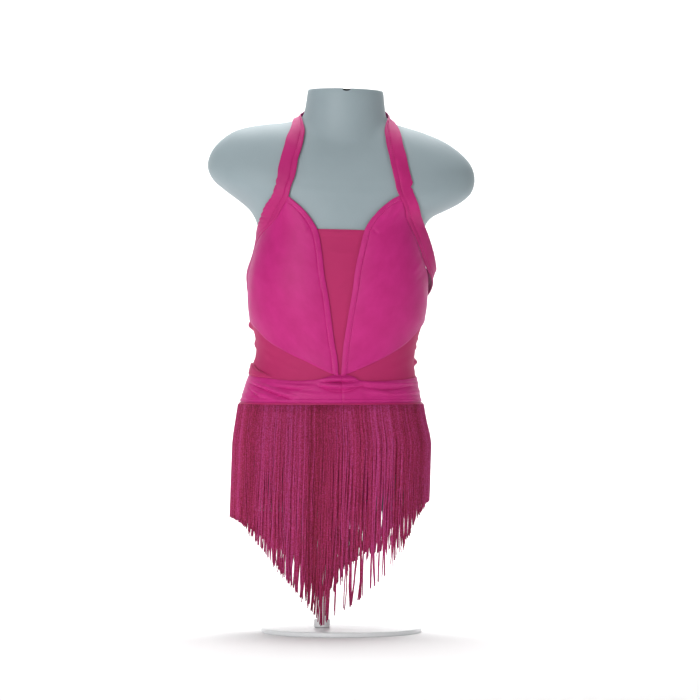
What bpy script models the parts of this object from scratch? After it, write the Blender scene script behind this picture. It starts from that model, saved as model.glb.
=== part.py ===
"""A child's halter dance leotard with a pointed fringe skirt, worn by a limbless dress form on a plain stand.

+X is the viewer's right, -Y is the front, +Z is up. The origin is on the floor under the middle of the stand.
"Left" and "right" in the names are the viewer's. All sizes in the tables are millimetres.
"""

import math
import random
from collections import namedtuple

import bmesh
import bpy
from mathutils import Vector

MM = 0.001

# Cloth layers: how far each one's inner face stands off the figure, and how thick its wall is.
Layer = namedtuple("Layer", "lift wall")
MESH_CLOTH = Layer(0.9, 1.0)
STRETCH_CLOTH = Layer(2.5, 1.2)
FRINGE_TAPE = Layer(4.6, 1.4)
SEAM_GAP = 0.35
UNDERLAP = 4.0
# How far off the skin the cloth's outer face lies, by which the front view shows an edge further out.
SEEN_LIFT = 3.3
# How many steps a smooth curve takes between two of its given points.
FINE = 10

MAGENTA = (0.58, 0.035, 0.22, 1.0)
RASPBERRY = (0.40, 0.035, 0.13, 1.0)
FRINGE_RED = (0.31, 0.026, 0.085, 1.0)
FORM_GREY = (0.33, 0.40, 0.43, 1.0)
STAND_WHITE = (0.80, 0.81, 0.82, 1.0)

# The figure, from the neck's rim down to the cut under the hips. A section is a ring whose sides lie at side_z
# and whose front and back lie at front_z and back_z. side, front and back are its reaches from its middle,
# which lies at middle in X. corner is 2 for an ellipse and more for squarer plan corners.
# drop is how much a millimetre of +X lowers the ring, because the form stands with one shoulder lower.
Section = namedtuple("Section", "side side_z front front_z back back_z middle corner drop")
FIGURE = [
    Section(45.5, 677.0, 43.0, 677.0, 45.0, 677.0, 5.5, 2.00, 0.025),  # neck rim
    Section(47.3, 674.5, 44.8, 674.5, 46.8, 674.5, 5.5, 2.00, 0.025),
    Section(49.5, 657.0, 46.0, 650.0, 48.0, 658.0, 5.0, 2.00, 0.025),
    Section(52.0, 645.0, 47.5, 626.0, 50.5, 649.0, 4.5, 2.00, 0.025),
    Section(59.0, 638.5, 50.5, 609.0, 54.5, 642.0, 4.0, 2.05, 0.030),  # neck root
    Section(77.0, 633.5, 55.0, 598.0, 60.0, 633.0, 3.0, 2.10, 0.035),
    Section(101.5, 628.8, 59.5, 588.0, 64.5, 623.0, 0.5, 2.15, 0.048),
    Section(129.0, 620.0, 63.0, 578.5, 68.0, 612.0, -1.0, 2.20, 0.056),
    Section(149.5, 606.5, 65.5, 570.0, 70.0, 601.0, -0.5, 2.25, 0.055),
    Section(162.5, 591.0, 67.5, 562.0, 71.5, 590.0, 0.0, 2.30, 0.052),
    Section(167.0, 573.5, 69.0, 554.5, 72.5, 578.0, 0.0, 2.30, 0.052),  # shoulder cap
    Section(161.5, 557.0, 70.5, 547.5, 73.0, 565.0, 0.5, 2.30, 0.058),
    Section(147.0, 544.0, 71.5, 540.0, 73.0, 553.0, 0.5, 2.30, 0.060),
    Section(129.5, 533.0, 72.5, 532.0, 73.0, 541.0, 0.5, 2.30, 0.052),
    Section(114.0, 522.5, 73.5, 523.0, 72.5, 529.0, 0.0, 2.30, 0.036),
    Section(105.5, 509.5, 74.5, 511.0, 72.0, 515.0, 0.0, 2.30, 0.012),  # armpit
    Section(103.2, 493.0, 76.0, 494.0, 71.0, 495.0, 0.2, 2.30, 0.000),
    Section(105.4, 470.0, 78.0, 470.0, 69.5, 470.0, -1.4, 2.30, 0.000),
    Section(108.0, 445.0, 79.5, 445.0, 68.5, 445.0, -4.0, 2.30, 0.000),
    Section(108.5, 420.0, 79.5, 420.0, 67.5, 420.0, -4.5, 2.30, 0.000),  # bust
    Section(106.0, 392.0, 77.0, 392.0, 65.5, 392.0, -5.0, 2.30, 0.000),
    Section(99.8, 368.0, 73.5, 368.0, 63.5, 368.0, -5.8, 2.30, 0.000),
    Section(97.5, 350.0, 72.0, 350.0, 63.0, 350.0, -7.1, 2.30, 0.000),  # waist
    Section(98.6, 332.0, 72.5, 332.0, 65.0, 332.0, -9.1, 2.30, 0.000),
    Section(104.2, 310.0, 75.0, 310.0, 69.0, 310.0, -11.9, 2.30, 0.000),
    Section(109.5, 287.0, 78.0, 287.0, 74.5, 287.0, -13.0, 2.30, 0.000),
    Section(113.2, 262.0, 80.5, 262.0, 78.5, 262.0, -12.8, 2.30, 0.000),
    Section(117.3, 238.0, 82.0, 238.0, 81.0, 238.0, -11.8, 2.30, 0.000),  # hips
    Section(118.0, 212.0, 82.0, 212.0, 81.0, 212.0, -12.5, 2.30, 0.000),
    Section(115.0, 188.0, 80.0, 188.0, 79.0, 188.0, -12.5, 2.30, 0.000),
    Section(110.0, 168.0, 76.5, 168.0, 75.5, 168.0, -12.5, 2.30, 0.000),
    Section(105.0, 156.0, 73.0, 156.0, 72.0, 156.0, -12.5, 2.30, 0.000),
    Section(101.0, 153.0, 70.0, 153.0, 69.0, 153.0, -12.5, 2.30, 0.000),  # cut underneath
]
FORM_COLUMNS = 32
FORM_BOTTOM_Z = 153.0

# The garment's middle line, where the point of the neckline and the front seam lie.
FRONT_MIDDLE = 2.0
SIDE_ANGLE = 91.0
BACK_ANGLE = 179.7

# Front-view outline of one cup, as seen on each side: x and z of points along each edge, from the bottom up.
CUP_EDGES = {
    "left": {
        "bottom": [(-106.0, 380.0), (-92.0, 365.4), (-79.0, 356.6), (-62.0, 347.3), (-43.5, 338.8), (-26.0, 330.0),
                   (-3.5, 321.3)],
        "point_to_neckline": [(-3.5, 321.3), (-8.7, 361.0), (-15.0, 408.5), (-22.5, 454.0), (-30.5, 501.4)],
        "neckline": [(-30.5, 501.4), (-40.0, 517.0), (-48.0, 526.5), (-59.0, 536.5), (-65.5, 542.0)],
    },
    "right": {
        "bottom": [(96.4, 378.0), (83.5, 364.0), (68.0, 352.4), (52.0, 343.0), (36.0, 335.2), (15.0, 326.0),
                   (0.6, 322.5)],
        "point_to_neckline": [(0.6, 322.5), (3.5, 357.0), (9.0, 391.0), (15.5, 429.0), (21.5, 466.0), (29.8, 499.6)],
        "neckline": [(29.8, 499.6), (36.5, 511.5), (44.0, 520.5), (54.0, 530.5), (64.0, 538.0), (72.3, 542.3)],
    },
}
# Where a cup's side runs once it has turned the corner of the body: angle from the front, and z.
# Above that it follows the halter band's inner edge, from the station where the band leaves it to the neckline.
CUP_SIDE = [(90.8, 390.0), (91.0, 404.0), (90.6, 418.0)]
CUP_BAND_STATIONS = (10, 15)
CUP_ROUNDING = 5.5
# The wedge of mesh between the cups runs down to here, under the brief.
INSET_LOW_Z = 313.5

# The halter band, from the nape round the neck, down the chest, along the armhole and round to the back.
# Each row is one station, with the band's neck-side edge and its arm-side edge, and how far they stand off.
# In the front view an edge is x and z. Round the neck and the back it is an angle and z.
NeckStation = namedtuple("NeckStation", "angle upper_z lower_angle lower_z lift")
BAND_NECK = [
    NeckStation(BACK_ANGLE, 665.5, BACK_ANGLE, 646.5, 1.6),
    NeckStation(158.0, 665.0, 158.0, 646.0, 1.6),
    NeckStation(136.0, 660.0, 137.0, 643.5, 1.7),
    NeckStation(114.0, 652.5, 117.0, 643.0, 1.9),
    NeckStation(99.0, 647.0, 103.0, 641.0, 2.1),
]
FrontStation = namedtuple("FrontStation", "inner_x inner_z outer_x outer_z lift outer_lift")
BAND_FRONT = {
    "left": [
        FrontStation(-48.8, 629.5, -63.5, 632.0, 2.0, 2.0),
        FrontStation(-48.8, 613.0, -70.0, 614.0, 2.1, 2.1),
        FrontStation(-52.0, 597.0, -74.2, 596.0, 2.1, 2.1),
        FrontStation(-55.8, 580.0, -78.6, 578.0, 2.1, 2.1),
        FrontStation(-60.0, 562.0, -80.6, 561.0, 2.1, 2.1),
        FrontStation(-66.0, 543.2, -86.0, 544.5, 2.1, 2.1),
        FrontStation(-75.5, 526.0, -96.5, 529.0, 2.1, 2.1),
        FrontStation(-87.5, 508.5, -102.7, 512.0, 2.1, 2.1),
    ],
    "right": [
        FrontStation(57.2, 628.5, 71.5, 630.0, 2.0, 2.0),
        FrontStation(57.7, 611.5, 77.5, 611.5, 2.1, 2.1),
        FrontStation(60.7, 595.0, 81.3, 595.0, 2.1, 2.1),
        FrontStation(64.0, 578.0, 84.8, 577.0, 2.1, 2.1),
        FrontStation(67.8, 561.0, 88.2, 560.5, 2.1, 2.1),
        FrontStation(73.0, 543.5, 90.6, 545.5, 2.1, 2.1),
        FrontStation(81.0, 524.5, 97.5, 529.5, 2.1, 3.2),
        FrontStation(87.0, 505.0, 101.0, 512.0, 2.1, 5.0),
    ],
}
SideStation = namedtuple("SideStation", "inner_angle inner_z outer_angle outer_z lift outer_lift")
BAND_SIDE = {
    "left": [
        SideStation(80.5, 483.0, 95.0, 489.0, 2.3, 3.0),
        SideStation(86.5, 460.0, 99.5, 468.5, 2.6, 5.5),
        SideStation(89.4, 440.0, 104.0, 450.0, 3.4, 8.8),
        SideStation(97.0, 426.0, 112.0, 437.5, 3.6, 8.0),
        SideStation(110.0, 414.5, 124.0, 430.5, 2.9, 4.2),
        SideStation(128.0, 406.5, 137.0, 425.0, 2.5, 2.7),
        SideStation(150.0, 403.0, 154.0, 422.5, 2.5, 2.5),
        SideStation(BACK_ANGLE, 402.0, BACK_ANGLE, 422.0, 2.5, 2.5),
    ],
    "right": [
        SideStation(63.0, 482.0, 76.0, 489.0, 2.4, 9.5),
        SideStation(74.0, 459.0, 84.5, 466.5, 3.4, 12.8),
        SideStation(84.5, 441.5, 94.5, 453.0, 4.4, 14.2),
        SideStation(96.0, 427.5, 104.5, 456.0, 4.8, 11.6),
        SideStation(110.0, 414.5, 121.0, 439.0, 3.2, 7.0),
        SideStation(128.0, 406.5, 137.0, 425.0, 2.5, 3.0),
        SideStation(150.0, 403.0, 154.0, 422.5, 2.5, 2.5),
        SideStation(BACK_ANGLE, 402.0, BACK_ANGLE, 422.0, 2.5, 2.5),
    ],
}
BAND_STEPS = 72
BAND_COLUMNS = 2
# The gathers that the armhole's elastic makes along the band's outer edge.
GATHER_PITCH = 8.0
GATHER_HEIGHT = {"left": 1.1, "right": 0.3}
GATHER_SPAN = {"start": 0.36, "end": 0.70}

# The top of the brief in the front view, x and z, and its folds.
BRIEF_TOP = {
    "left": [(-100.0, 317.8), (-79.0, 314.9), (-56.0, 313.6), (-40.0, 314.6), (-22.0, 316.5), (-9.0, 320.5),
             (FRONT_MIDDLE, 321.5)],
    "right": [(80.7, 315.3), (68.0, 314.2), (54.0, 313.0), (28.0, 313.5), (13.0, 319.5), (FRONT_MIDDLE, 321.5)],
}
BRIEF_SIDE_TOP = {"left": 321.0, "right": 319.0}
BACK_TOP_Z = 326.0
LEG_TOP_Z = 236.0
LEG_CURVE = [(88.0, 228.0), (70.0, 205.0), (50.0, 183.0), (38.0, 168.0)]
GUSSET_TOP_Z = 168.0
GUSSET_HALF_TOP = 38.0
GUSSET_HALF_MIDDLE = 22.0
GUSSET_SWING = 6.0
GUSSET_LOW_Z = 130.0

BRIEF_COLUMNS = 15
FOLD_ROWS = 10
Fold = namedtuple("Fold", "x0 z0 x1 z1 sag height half_width")
BRIEF_FOLDS = [
    Fold(-25.0, 315.0, 25.0, 316.0, -3.0, 3.4, 5.0),
    Fold(-18.0, 310.0, 21.0, 311.0, 4.5, 4.6, 4.5),
    Fold(22.0, 308.5, 104.0, 309.0, 2.0, 2.4, 4.0),
    Fold(-122.0, 312.0, -30.0, 306.0, 2.0, 2.2, 4.0),
    Fold(-110.0, 308.0, -40.0, 290.0, -2.0, 2.4, 4.5),
    Fold(-120.0, 297.0, -80.0, 290.0, 2.0, 1.6, 3.5),
]
# The lumps that loose mesh makes at the side seams, and the roll of it that lies over the brief on the left.
SideBump = namedtuple("SideBump", "z height half_width reach")
SIDE_BUMPS = {
    "left": [SideBump(384.8, 4.3, 4.8, 9.0), SideBump(359.5, 1.8, 6.0, 14.0)],
    "right": [SideBump(366.5, 0.8, 4.5, 10.0), SideBump(356.0, 1.1, 4.5, 10.0), SideBump(337.5, 4.1, 5.0, 12.0)],
}
MESH_ROLL = [Fold(-132.0, 338.0, -86.0, 321.0, 0.0, 3.5, 5.0)]
MESH_ROWS_Z = {
    "left": [322.0, 325.5, 328.5, 331.5, 335.5, 347.0, 356.0, 360.0, 366.0, 379.5, 382.0, 385.0, 388.5],
    "right": [323.0, 332.5, 335.0, 338.0, 341.0, 345.0, 356.0, 367.0, 380.0],
}

# The fringe: a tape round the hips with strands hanging from it. The cut is the height of the strands' ends
# above the floor at each x in the front view.
TAPE_TOP_Z = 286.0
TAPE_HEIGHT = 5.0
HANG_FROM_Z = 236.0
STRANDS_PER_HALF = 70
STRAND_SHARE = 0.62
STRAND_THICK = 1.5
STRAND_RAGGED = 5.0
FRINGE_LEAN = 0.033
CutPoint = namedtuple("CutPoint", "x z")
FRONT_CUT = [
    CutPoint(-140.0, 146.0),
    CutPoint(-124.0, 138.0),
    CutPoint(-101.0, 110.0),
    CutPoint(-69.0, 70.0),
    CutPoint(-35.0, 30.0),
    CutPoint(-24.0, 12.5),
    CutPoint(1.0, 30.0),
    CutPoint(28.0, 50.0),
    CutPoint(50.0, 70.0),
    CutPoint(65.0, 90.0),
    CutPoint(79.0, 110.0),
    CutPoint(90.0, 138.0),
    CutPoint(105.0, 160.0),
    CutPoint(112.0, 166.0),
]
BACK_CUT = [
    CutPoint(-140.0, 144.0),
    CutPoint(-80.0, 98.0),
    CutPoint(-22.0, 54.0),
    CutPoint(30.0, 96.0),
    CutPoint(112.0, 168.0),
]

BASE_RADIUS = 100.0
BASE_HEIGHT = 6.0
BASE_EDGE = 2.0
BASE_SIDES = 40
POST_RADIUS = 6.0
POST_X = -24.0
POST_CLEARANCE = 0.3
COLLAR_RADIUS = 10.0
COLLAR_HEIGHT = 10.0


def clear_scene():
    for obj in list(bpy.data.objects):
        bpy.data.objects.remove(obj)


def new_collection(name):
    collection = bpy.data.collections.new(name)
    bpy.context.scene.collection.children.link(collection)
    return collection


def new_material(name, colour, roughness):
    material = bpy.data.materials.new(name)
    material.use_nodes = True
    shader = material.node_tree.nodes["Principled BSDF"]
    shader.inputs["Base Color"].default_value = colour
    shader.inputs["Roughness"].default_value = roughness
    shader.inputs["Metallic"].default_value = 0.0
    return material


# The figure's skin


def smooth_value(before, start, end, after, share):
    """A Catmull-Rom curve between start and end."""
    slope_in = (end - before) / 2
    slope_out = (after - start) / 2
    square, cube = share * share, share * share * share
    return (
        (2 * cube - 3 * square + 1) * start
        + (cube - 2 * square + share) * slope_in
        + (3 * square - 2 * cube) * end
        + (cube - square) * slope_out
    )


def section_at(level):
    """The figure's section at a level. Level 0 is the neck's rim, and each whole number is a table row."""
    last = len(FIGURE) - 1
    level = min(max(level, 0.0), last)
    row = min(int(level), last - 1)
    rows = [FIGURE[max(row - 1, 0)], FIGURE[row], FIGURE[row + 1], FIGURE[min(row + 2, last)]]
    return Section(*(smooth_value(*values, level - row) for values in zip(*rows)))


def signed_power(value, power):
    return math.copysign(abs(value) ** power, value)


def skin(angle, level):
    """A point of the figure's skin, in millimetres, at an angle in degrees from the front towards +X."""
    section = section_at(level)
    sine, cosine = math.sin(math.radians(angle)), math.cos(math.radians(angle))
    power = 2.0 / section.corner
    x = section.middle + section.side * signed_power(sine, power)
    reach, end_z = (section.front, section.front_z) if cosine > 0 else (section.back, section.back_z)
    y = -reach * signed_power(cosine, power)
    z = section.side_z + (end_z - section.side_z) * cosine * cosine
    return Vector((x, y, z - section.drop * x))


def outward(angle, level):
    """The skin's outward direction."""
    turn, step = 2.0, 0.1
    round_it = skin(angle + turn, level) - skin(angle - turn, level)
    down_it = skin(angle, level + step) - skin(angle, level - step)
    return down_it.cross(round_it).normalized()


def above_skin(angle, level, lift):
    return skin(angle, level) + outward(angle, level) * lift


def level_where(angle_at, z):
    """The level at which the skin has height z. angle_at gives the angle to look at for each level."""
    high, low = 0.0, float(len(FIGURE) - 1)
    for _ in range(40):
        middle = (high + low) / 2
        if skin(angle_at(middle), middle).z > z:
            high = middle
        else:
            low = middle
    return (high + low) / 2


def at_angle(angle, z):
    """Chart position of the skin at an angle and a height."""
    return angle, level_where(lambda level: angle, z)


def at_front(x, z):
    """Chart position of the skin under the cloth that the front view shows at x and z."""

    def angle_at(level):
        section = section_at(level)
        share = min(max((x - section.middle) / (section.side + SEEN_LIFT), -1.0), 1.0)
        return math.degrees(math.asin(signed_power(share, section.corner / 2)))

    level = level_where(angle_at, z)
    return angle_at(level), level


# Edges and panels


def smooth_stations(stations):
    """Stations along a smooth curve through the given ones, FINE of them to each."""
    last = len(stations) - 1
    dense = []
    for i in range(last):
        around = [stations[max(i - 1, 0)], stations[i], stations[i + 1], stations[min(i + 2, last)]]
        dense += [tuple(smooth_value(*values, k / FINE) for values in zip(*around)) for k in range(FINE)]
    return dense + [stations[-1]]


def spread_along(points, steps):
    """steps + 1 chart positions, evenly spaced over the skin along a smooth curve through the given ones."""
    dense = smooth_stations(points)
    places = [skin(*position) for position in dense]
    travelled = [0.0]
    for a, b in zip(places, places[1:]):
        travelled.append(travelled[-1] + (b - a).length)
    spaced = []
    span = 0
    for k in range(steps + 1):
        wanted = travelled[-1] * k / steps
        while span < len(dense) - 2 and travelled[span + 1] < wanted:
            span += 1
        stretch = max(travelled[span + 1] - travelled[span], 1e-9)
        share = min(max((wanted - travelled[span]) / stretch, 0.0), 1.0)
        spaced.append(tuple(a + (b - a) * share for a, b in zip(dense[span], dense[span + 1])))
    return spaced


def edge(*runs):
    """One edge of a panel, of smooth runs that meet at corners. A run is its chart positions and its steps."""
    joined = []
    for points, steps in runs:
        spaced = spread_along(points, steps)
        joined += spaced if not joined else spaced[1:]
    return joined


def filled_panel(bottom, top, left, right, row_shares=None):
    """Chart positions inside four edges, as rows from the bottom up: a Coons patch."""
    columns, rows = len(bottom) - 1, len(left) - 1
    grid = []
    for j in range(rows + 1):
        v = row_shares[j] if row_shares else j / rows
        line = []
        for i in range(columns + 1):
            u = i / columns
            line.append(
                tuple(
                    (1 - v) * bottom[i][k]
                    + v * top[i][k]
                    + (1 - u) * left[j][k]
                    + u * right[j][k]
                    - (1 - u) * (1 - v) * bottom[0][k]
                    - u * (1 - v) * bottom[-1][k]
                    - (1 - u) * v * top[0][k]
                    - u * v * top[-1][k]
                    for k in range(2)
                )
            )
        grid.append(line)
    return grid


def cloth_from_points(name, points, wall, material, collection):
    """A cloth wall whose inner face runs through a grid of points in millimetres, in rows from the bottom up."""
    rows, columns = len(points) - 1, len(points[0]) - 1
    bm = bmesh.new()
    bmesh.ops.create_grid(bm, x_segments=columns, y_segments=rows, size=0.5)
    for vert in bm.verts:
        column, row = round((vert.co.x + 0.5) * columns), round((vert.co.y + 0.5) * rows)
        vert.co = points[row][column] * MM
    away = sum(face.normal.dot(face.calc_center_median() - Vector((0, 0, face.calc_center_median().z)))
               for face in updated(bm).faces)
    if away < 0:
        bmesh.ops.reverse_faces(bm, faces=bm.faces)
    obj = object_from(bm, name, material, collection)
    shell = obj.modifiers.new("wall", "SOLIDIFY")
    shell.thickness = wall * MM
    shell.offset = 1.0
    return obj


def updated(bm):
    bm.normal_update()
    return bm


def object_from(bm, name, material, collection):
    mesh = bpy.data.meshes.new(name)
    bm.to_mesh(mesh)
    bm.free()
    mesh.materials.append(material)
    mesh.shade_smooth()
    mesh.set_sharp_from_angle(angle=math.radians(50))
    obj = bpy.data.objects.new(name, mesh)
    collection.objects.link(obj)
    return obj


def cloth_panel(name, layer, edges, material, collection, relief=None):
    """A panel that lies on the figure. relief gives the height of its folds over each chart position."""
    grid = filled_panel(*edges)
    height = relief or (lambda u, v, position: 0.0)
    rows, columns = len(grid) - 1, len(grid[0]) - 1
    points = [
        [
            above_skin(*position, layer.lift + height(i / columns, j / rows, position))
            for i, position in enumerate(line)
        ]
        for j, line in enumerate(grid)
    ]
    return cloth_from_points(name, points, layer.wall, material, collection)


# The dress form and its stand


def make_dress_form(material, collection):
    """The limbless form: rings lofted down the figure, closed flat at the neck and under the hips."""
    bm = bmesh.new()
    rings = []
    for level in range(len(FIGURE)):
        turns = [360.0 * k / FORM_COLUMNS for k in range(FORM_COLUMNS)]
        rings.append([bm.verts.new(skin(turn, level) * MM) for turn in turns])
    for upper, lower in zip(rings, rings[1:]):
        for k in range(FORM_COLUMNS):
            following = (k + 1) % FORM_COLUMNS
            bm.faces.new((upper[k], lower[k], lower[following], upper[following]))
    bm.faces.new(rings[0])
    bm.faces.new(list(reversed(rings[-1])))
    bmesh.ops.recalc_face_normals(bm, faces=bm.faces)
    return object_from(bm, "dress_form", material, collection)


def turned(name, profile, sides, material, collection):
    """A turned shape. The profile is radius and z, and runs down its outer side from the axis to the axis."""
    mesh = bpy.data.meshes.new(name)
    points = [(radius * MM, 0.0, z * MM) for radius, z in profile]
    mesh.from_pydata(points, [(i, i + 1) for i in range(len(points) - 1)], [])
    mesh.materials.append(material)
    obj = bpy.data.objects.new(name, mesh)
    collection.objects.link(obj)
    screw = obj.modifiers.new("turn", "SCREW")
    screw.steps = screw.render_steps = sides
    screw.use_merge_vertices = True
    screw.merge_threshold = 0.00005
    screw.use_smooth_shade = True
    return obj


def make_base(material, collection):
    """A round plate with a low collar, which the post stands in, off its middle."""
    profile = [
        (0.0, BASE_HEIGHT),
        (BASE_RADIUS - BASE_EDGE, BASE_HEIGHT),
        (BASE_RADIUS, BASE_HEIGHT - BASE_EDGE),
        (BASE_RADIUS, 0.0),
        (0.0, 0.0),
    ]
    return turned("stand_base", profile, BASE_SIDES, material, collection)


def make_post(material, collection):
    """The post, which stands on the plate and ends under the form, beside the gusset."""
    foot_z = BASE_HEIGHT + POST_CLEARANCE
    profile = [
        (0.0, FORM_BOTTOM_Z - POST_CLEARANCE),
        (POST_RADIUS, FORM_BOTTOM_Z - POST_CLEARANCE),
        (POST_RADIUS, foot_z + COLLAR_HEIGHT),
        (COLLAR_RADIUS, foot_z + COLLAR_HEIGHT - 2.0),
        (COLLAR_RADIUS, foot_z),
        (0.0, foot_z),
    ]
    post = turned("stand_post", profile, 20, material, collection)
    post.location.x = POST_X * MM
    return post


# The leotard


def mirrored(side, points):
    """Angles measured towards +X, turned to the side asked for."""
    sign = -1.0 if side == "left" else 1.0
    return [(sign * angle, *rest) for angle, *rest in points]


def band_stations(side):
    """The stations of a halter band: a number, its two edges' chart positions and heights off the skin."""
    sign = -1.0 if side == "left" else 1.0
    rows = []
    for row in BAND_NECK:
        inner = at_angle(sign * row.angle, row.upper_z)
        outer = at_angle(sign * row.lower_angle, row.lower_z)
        rows.append((*inner, *outer, row.lift, row.lift))
    for row in BAND_FRONT[side]:
        inner, outer = at_front(row.inner_x, row.inner_z), at_front(row.outer_x, row.outer_z)
        rows.append((*inner, *outer, row.lift, row.outer_lift))
    for row in BAND_SIDE[side]:
        inner = at_angle(sign * row.inner_angle, row.inner_z)
        outer = at_angle(sign * row.outer_angle, row.outer_z)
        rows.append((*inner, *outer, row.lift, row.outer_lift))
    return [(number, *row) for number, row in enumerate(rows)]


def band_chart(station, across):
    _, inner_angle, inner_level, outer_angle, outer_level, _, _ = station
    return (inner_angle + (outer_angle - inner_angle) * across,
            inner_level + (outer_level - inner_level) * across)


def band_point(station, across):
    lift, outer_lift = station[-2:]
    return above_skin(*band_chart(station, across), lift + (outer_lift - lift) * across)


def evenly_along(stations, steps):
    """Stations at equal steps along a smooth curve through the given ones, and the curve's length."""
    dense = smooth_stations(stations)
    places = [band_point(station, 0.5) for station in dense]
    travelled = [0.0]
    for a, b in zip(places, places[1:]):
        travelled.append(travelled[-1] + (b - a).length)
    spaced, span = [], 0
    for k in range(steps + 1):
        wanted = travelled[-1] * k / steps
        while span < len(dense) - 2 and travelled[span + 1] < wanted:
            span += 1
        share = (wanted - travelled[span]) / (travelled[span + 1] - travelled[span])
        spaced.append(tuple(a + (b - a) * share for a, b in zip(dense[span], dense[span + 1])))
    return spaced, travelled[-1]


def beside_band(side):
    """Chart positions a seam's gap inside the halter band, upwards from the station where the band leaves."""
    first, last = CUP_BAND_STATIONS
    spaced, _ = evenly_along(band_stations(side), BAND_STEPS)
    positions = []
    for station in reversed(spaced):
        if first <= station[0] <= last:
            width = (band_point(station, 1.0) - band_point(station, 0.0)).length
            positions.append(band_chart(station, -2 * SEAM_GAP / width))
    return positions


def cup_edges(side):
    """The four edges of a cup. It runs from its side seam to the neckline, whichever side it is on."""
    lines = CUP_EDGES[side]
    side_run = [at_angle(angle, z) for angle, z in mirrored(side, CUP_SIDE)]
    armhole = beside_band(side)
    outer = edge((side_run + armhole[:1], 3)) + armhole[1:]
    bottom = edge(([outer[0]] + [at_front(*point) for point in lines["bottom"]], 10))
    neckline_steps = 5
    inner = edge(
        ([at_front(*point) for point in lines["point_to_neckline"]], len(outer) - 1 - neckline_steps),
        ([at_front(*point) for point in lines["neckline"]], neckline_steps),
    )
    top = edge(([outer[-1], inner[-1]], 10))
    return bottom, top, outer, inner


def cup_relief(u, v, position):
    """A cup rounds out from its edges, fullest a little below its middle."""
    across = math.sin(math.pi * min(max(u, 0.0), 1.0))
    up = math.sin(math.pi * min(max(v, 0.0), 1.0) ** 0.8)
    return CUP_ROUNDING * across * up


def make_cups(material, collection):
    for side in ("left", "right"):
        cloth_panel(f"cup_{side}", STRETCH_CLOTH, cup_edges(side), material, collection, cup_relief)


def moved_aside(points, distance):
    return [(x + distance, z) for x, z in points]


def make_neckline_inset(material, collection):
    """The mesh wedge between the cups. Its long edges lie under theirs."""
    left = [(-3.2, INSET_LOW_Z)] + CUP_EDGES["left"]["point_to_neckline"]
    right = [(0.4, INSET_LOW_Z)] + CUP_EDGES["right"]["point_to_neckline"]
    left_edge = edge(([at_front(*p) for p in moved_aside(left, -UNDERLAP)], 9))
    right_edge = edge(([at_front(*p) for p in moved_aside(right, UNDERLAP)], 9))
    bottom = edge(([left_edge[0], right_edge[0]], 4))
    top = edge(([left_edge[-1], right_edge[-1]], 4))
    cloth_panel("neckline_inset", MESH_CLOTH, (bottom, top, left_edge, right_edge), material, collection)


def mesh_relief(u, v, position):
    """The lumps beside a side seam and, on the front, the roll over the brief."""
    place = skin(*position)
    from_front = min(abs(position[0]), 360.0 - abs(position[0]))
    from_seam = abs(SIDE_ANGLE - from_front) * 1.6
    height = 0.0
    for bump in SIDE_BUMPS["left" if place.x < 0 else "right"]:
        off = abs(place.z - bump.z) / bump.half_width
        if off < 1.0:
            beside = max(0.0, 1.0 - from_seam / bump.reach)
            height = max(height, bump.height * beside * math.cos(math.pi * off / 2) ** 2)
    if from_front < SIDE_ANGLE + 0.1:
        height = max(height, fold_height(place.x, place.z, MESH_ROLL))
    return height


def make_waist_mesh(material, collection):
    """The mesh over the midriff: one piece each side of the front, and one round the back."""
    # Each front piece stops just short of the wedge, under the cups' meeting.
    inner_x = {"left": (-9.7, -8.2), "right": (6.4, 5.4)}
    for side in ("left", "right"):
        sign = -1.0 if side == "left" else 1.0
        seam = sign * SIDE_ANGLE
        top_line = [(x, z + UNDERLAP) for x, z in CUP_EDGES[side]["bottom"] if abs(x) > 20.0]
        bottom_line = [(x, z - UNDERLAP) for x, z in BRIEF_TOP[side] if abs(x) > 20.0]
        top_x, bottom_x = inner_x[side]
        top = edge(([at_angle(seam, 396.0)] + [at_front(*p) for p in top_line] + [at_front(top_x, 332.0)], 9))
        bottom = edge(
            ([at_angle(seam, BRIEF_SIDE_TOP[side] - UNDERLAP)]
             + [at_front(*p) for p in bottom_line] + [at_front(bottom_x, 310.0)], 9)
        )
        levels = [bottom[0][1]] + [at_angle(seam, z)[1] for z in MESH_ROWS_Z[side]] + [top[0][1]]
        shares = [(level - levels[0]) / (levels[-1] - levels[0]) for level in levels]
        outer = [(seam, level) for level in levels]
        inner = [tuple(a + (b - a) * share for a, b in zip(bottom[-1], top[-1])) for share in shares]
        edges = (bottom, top, outer, inner, shares)
        cloth_panel(f"waist_mesh_{side}", MESH_CLOTH, edges, material, collection, mesh_relief)
    seam = SIDE_ANGLE + 0.4
    half = [(seam, 424.0), (101.0, 424.0), (113.0, 419.0), (130.0, 412.0), (152.0, 409.0), (180.0, 408.0)]
    top_line = half + [(360.0 - angle, z) for angle, z in reversed(half[:-1])]
    top = edge(([at_angle(angle, z) for angle, z in top_line], 24))
    low_z = BACK_TOP_Z - UNDERLAP
    low_line = [(seam, BRIEF_SIDE_TOP["right"] - UNDERLAP), (135.0, low_z), (180.0, low_z), (225.0, low_z),
                (360.0 - seam, BRIEF_SIDE_TOP["left"] - UNDERLAP)]
    bottom = edge(([at_angle(angle, z) for angle, z in low_line], 24))
    start, end = edge(([bottom[0], top[0]], 9)), edge(([bottom[-1], top[-1]], 9))
    cloth_panel("back_mesh", MESH_CLOTH, (bottom, top, start, end), material, collection, mesh_relief)


def gather(side, share, length):
    """How far the elastic draws the band's outer edge in and out at a share of its length."""
    start, end = GATHER_SPAN["start"], GATHER_SPAN["end"]
    if not start < share < end:
        return 0.0
    fade = min((share - start) / 0.03, (end - share) / 0.06, 1.0)
    return GATHER_HEIGHT[side] * fade * math.sin(2 * math.pi * share * length / GATHER_PITCH)


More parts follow.
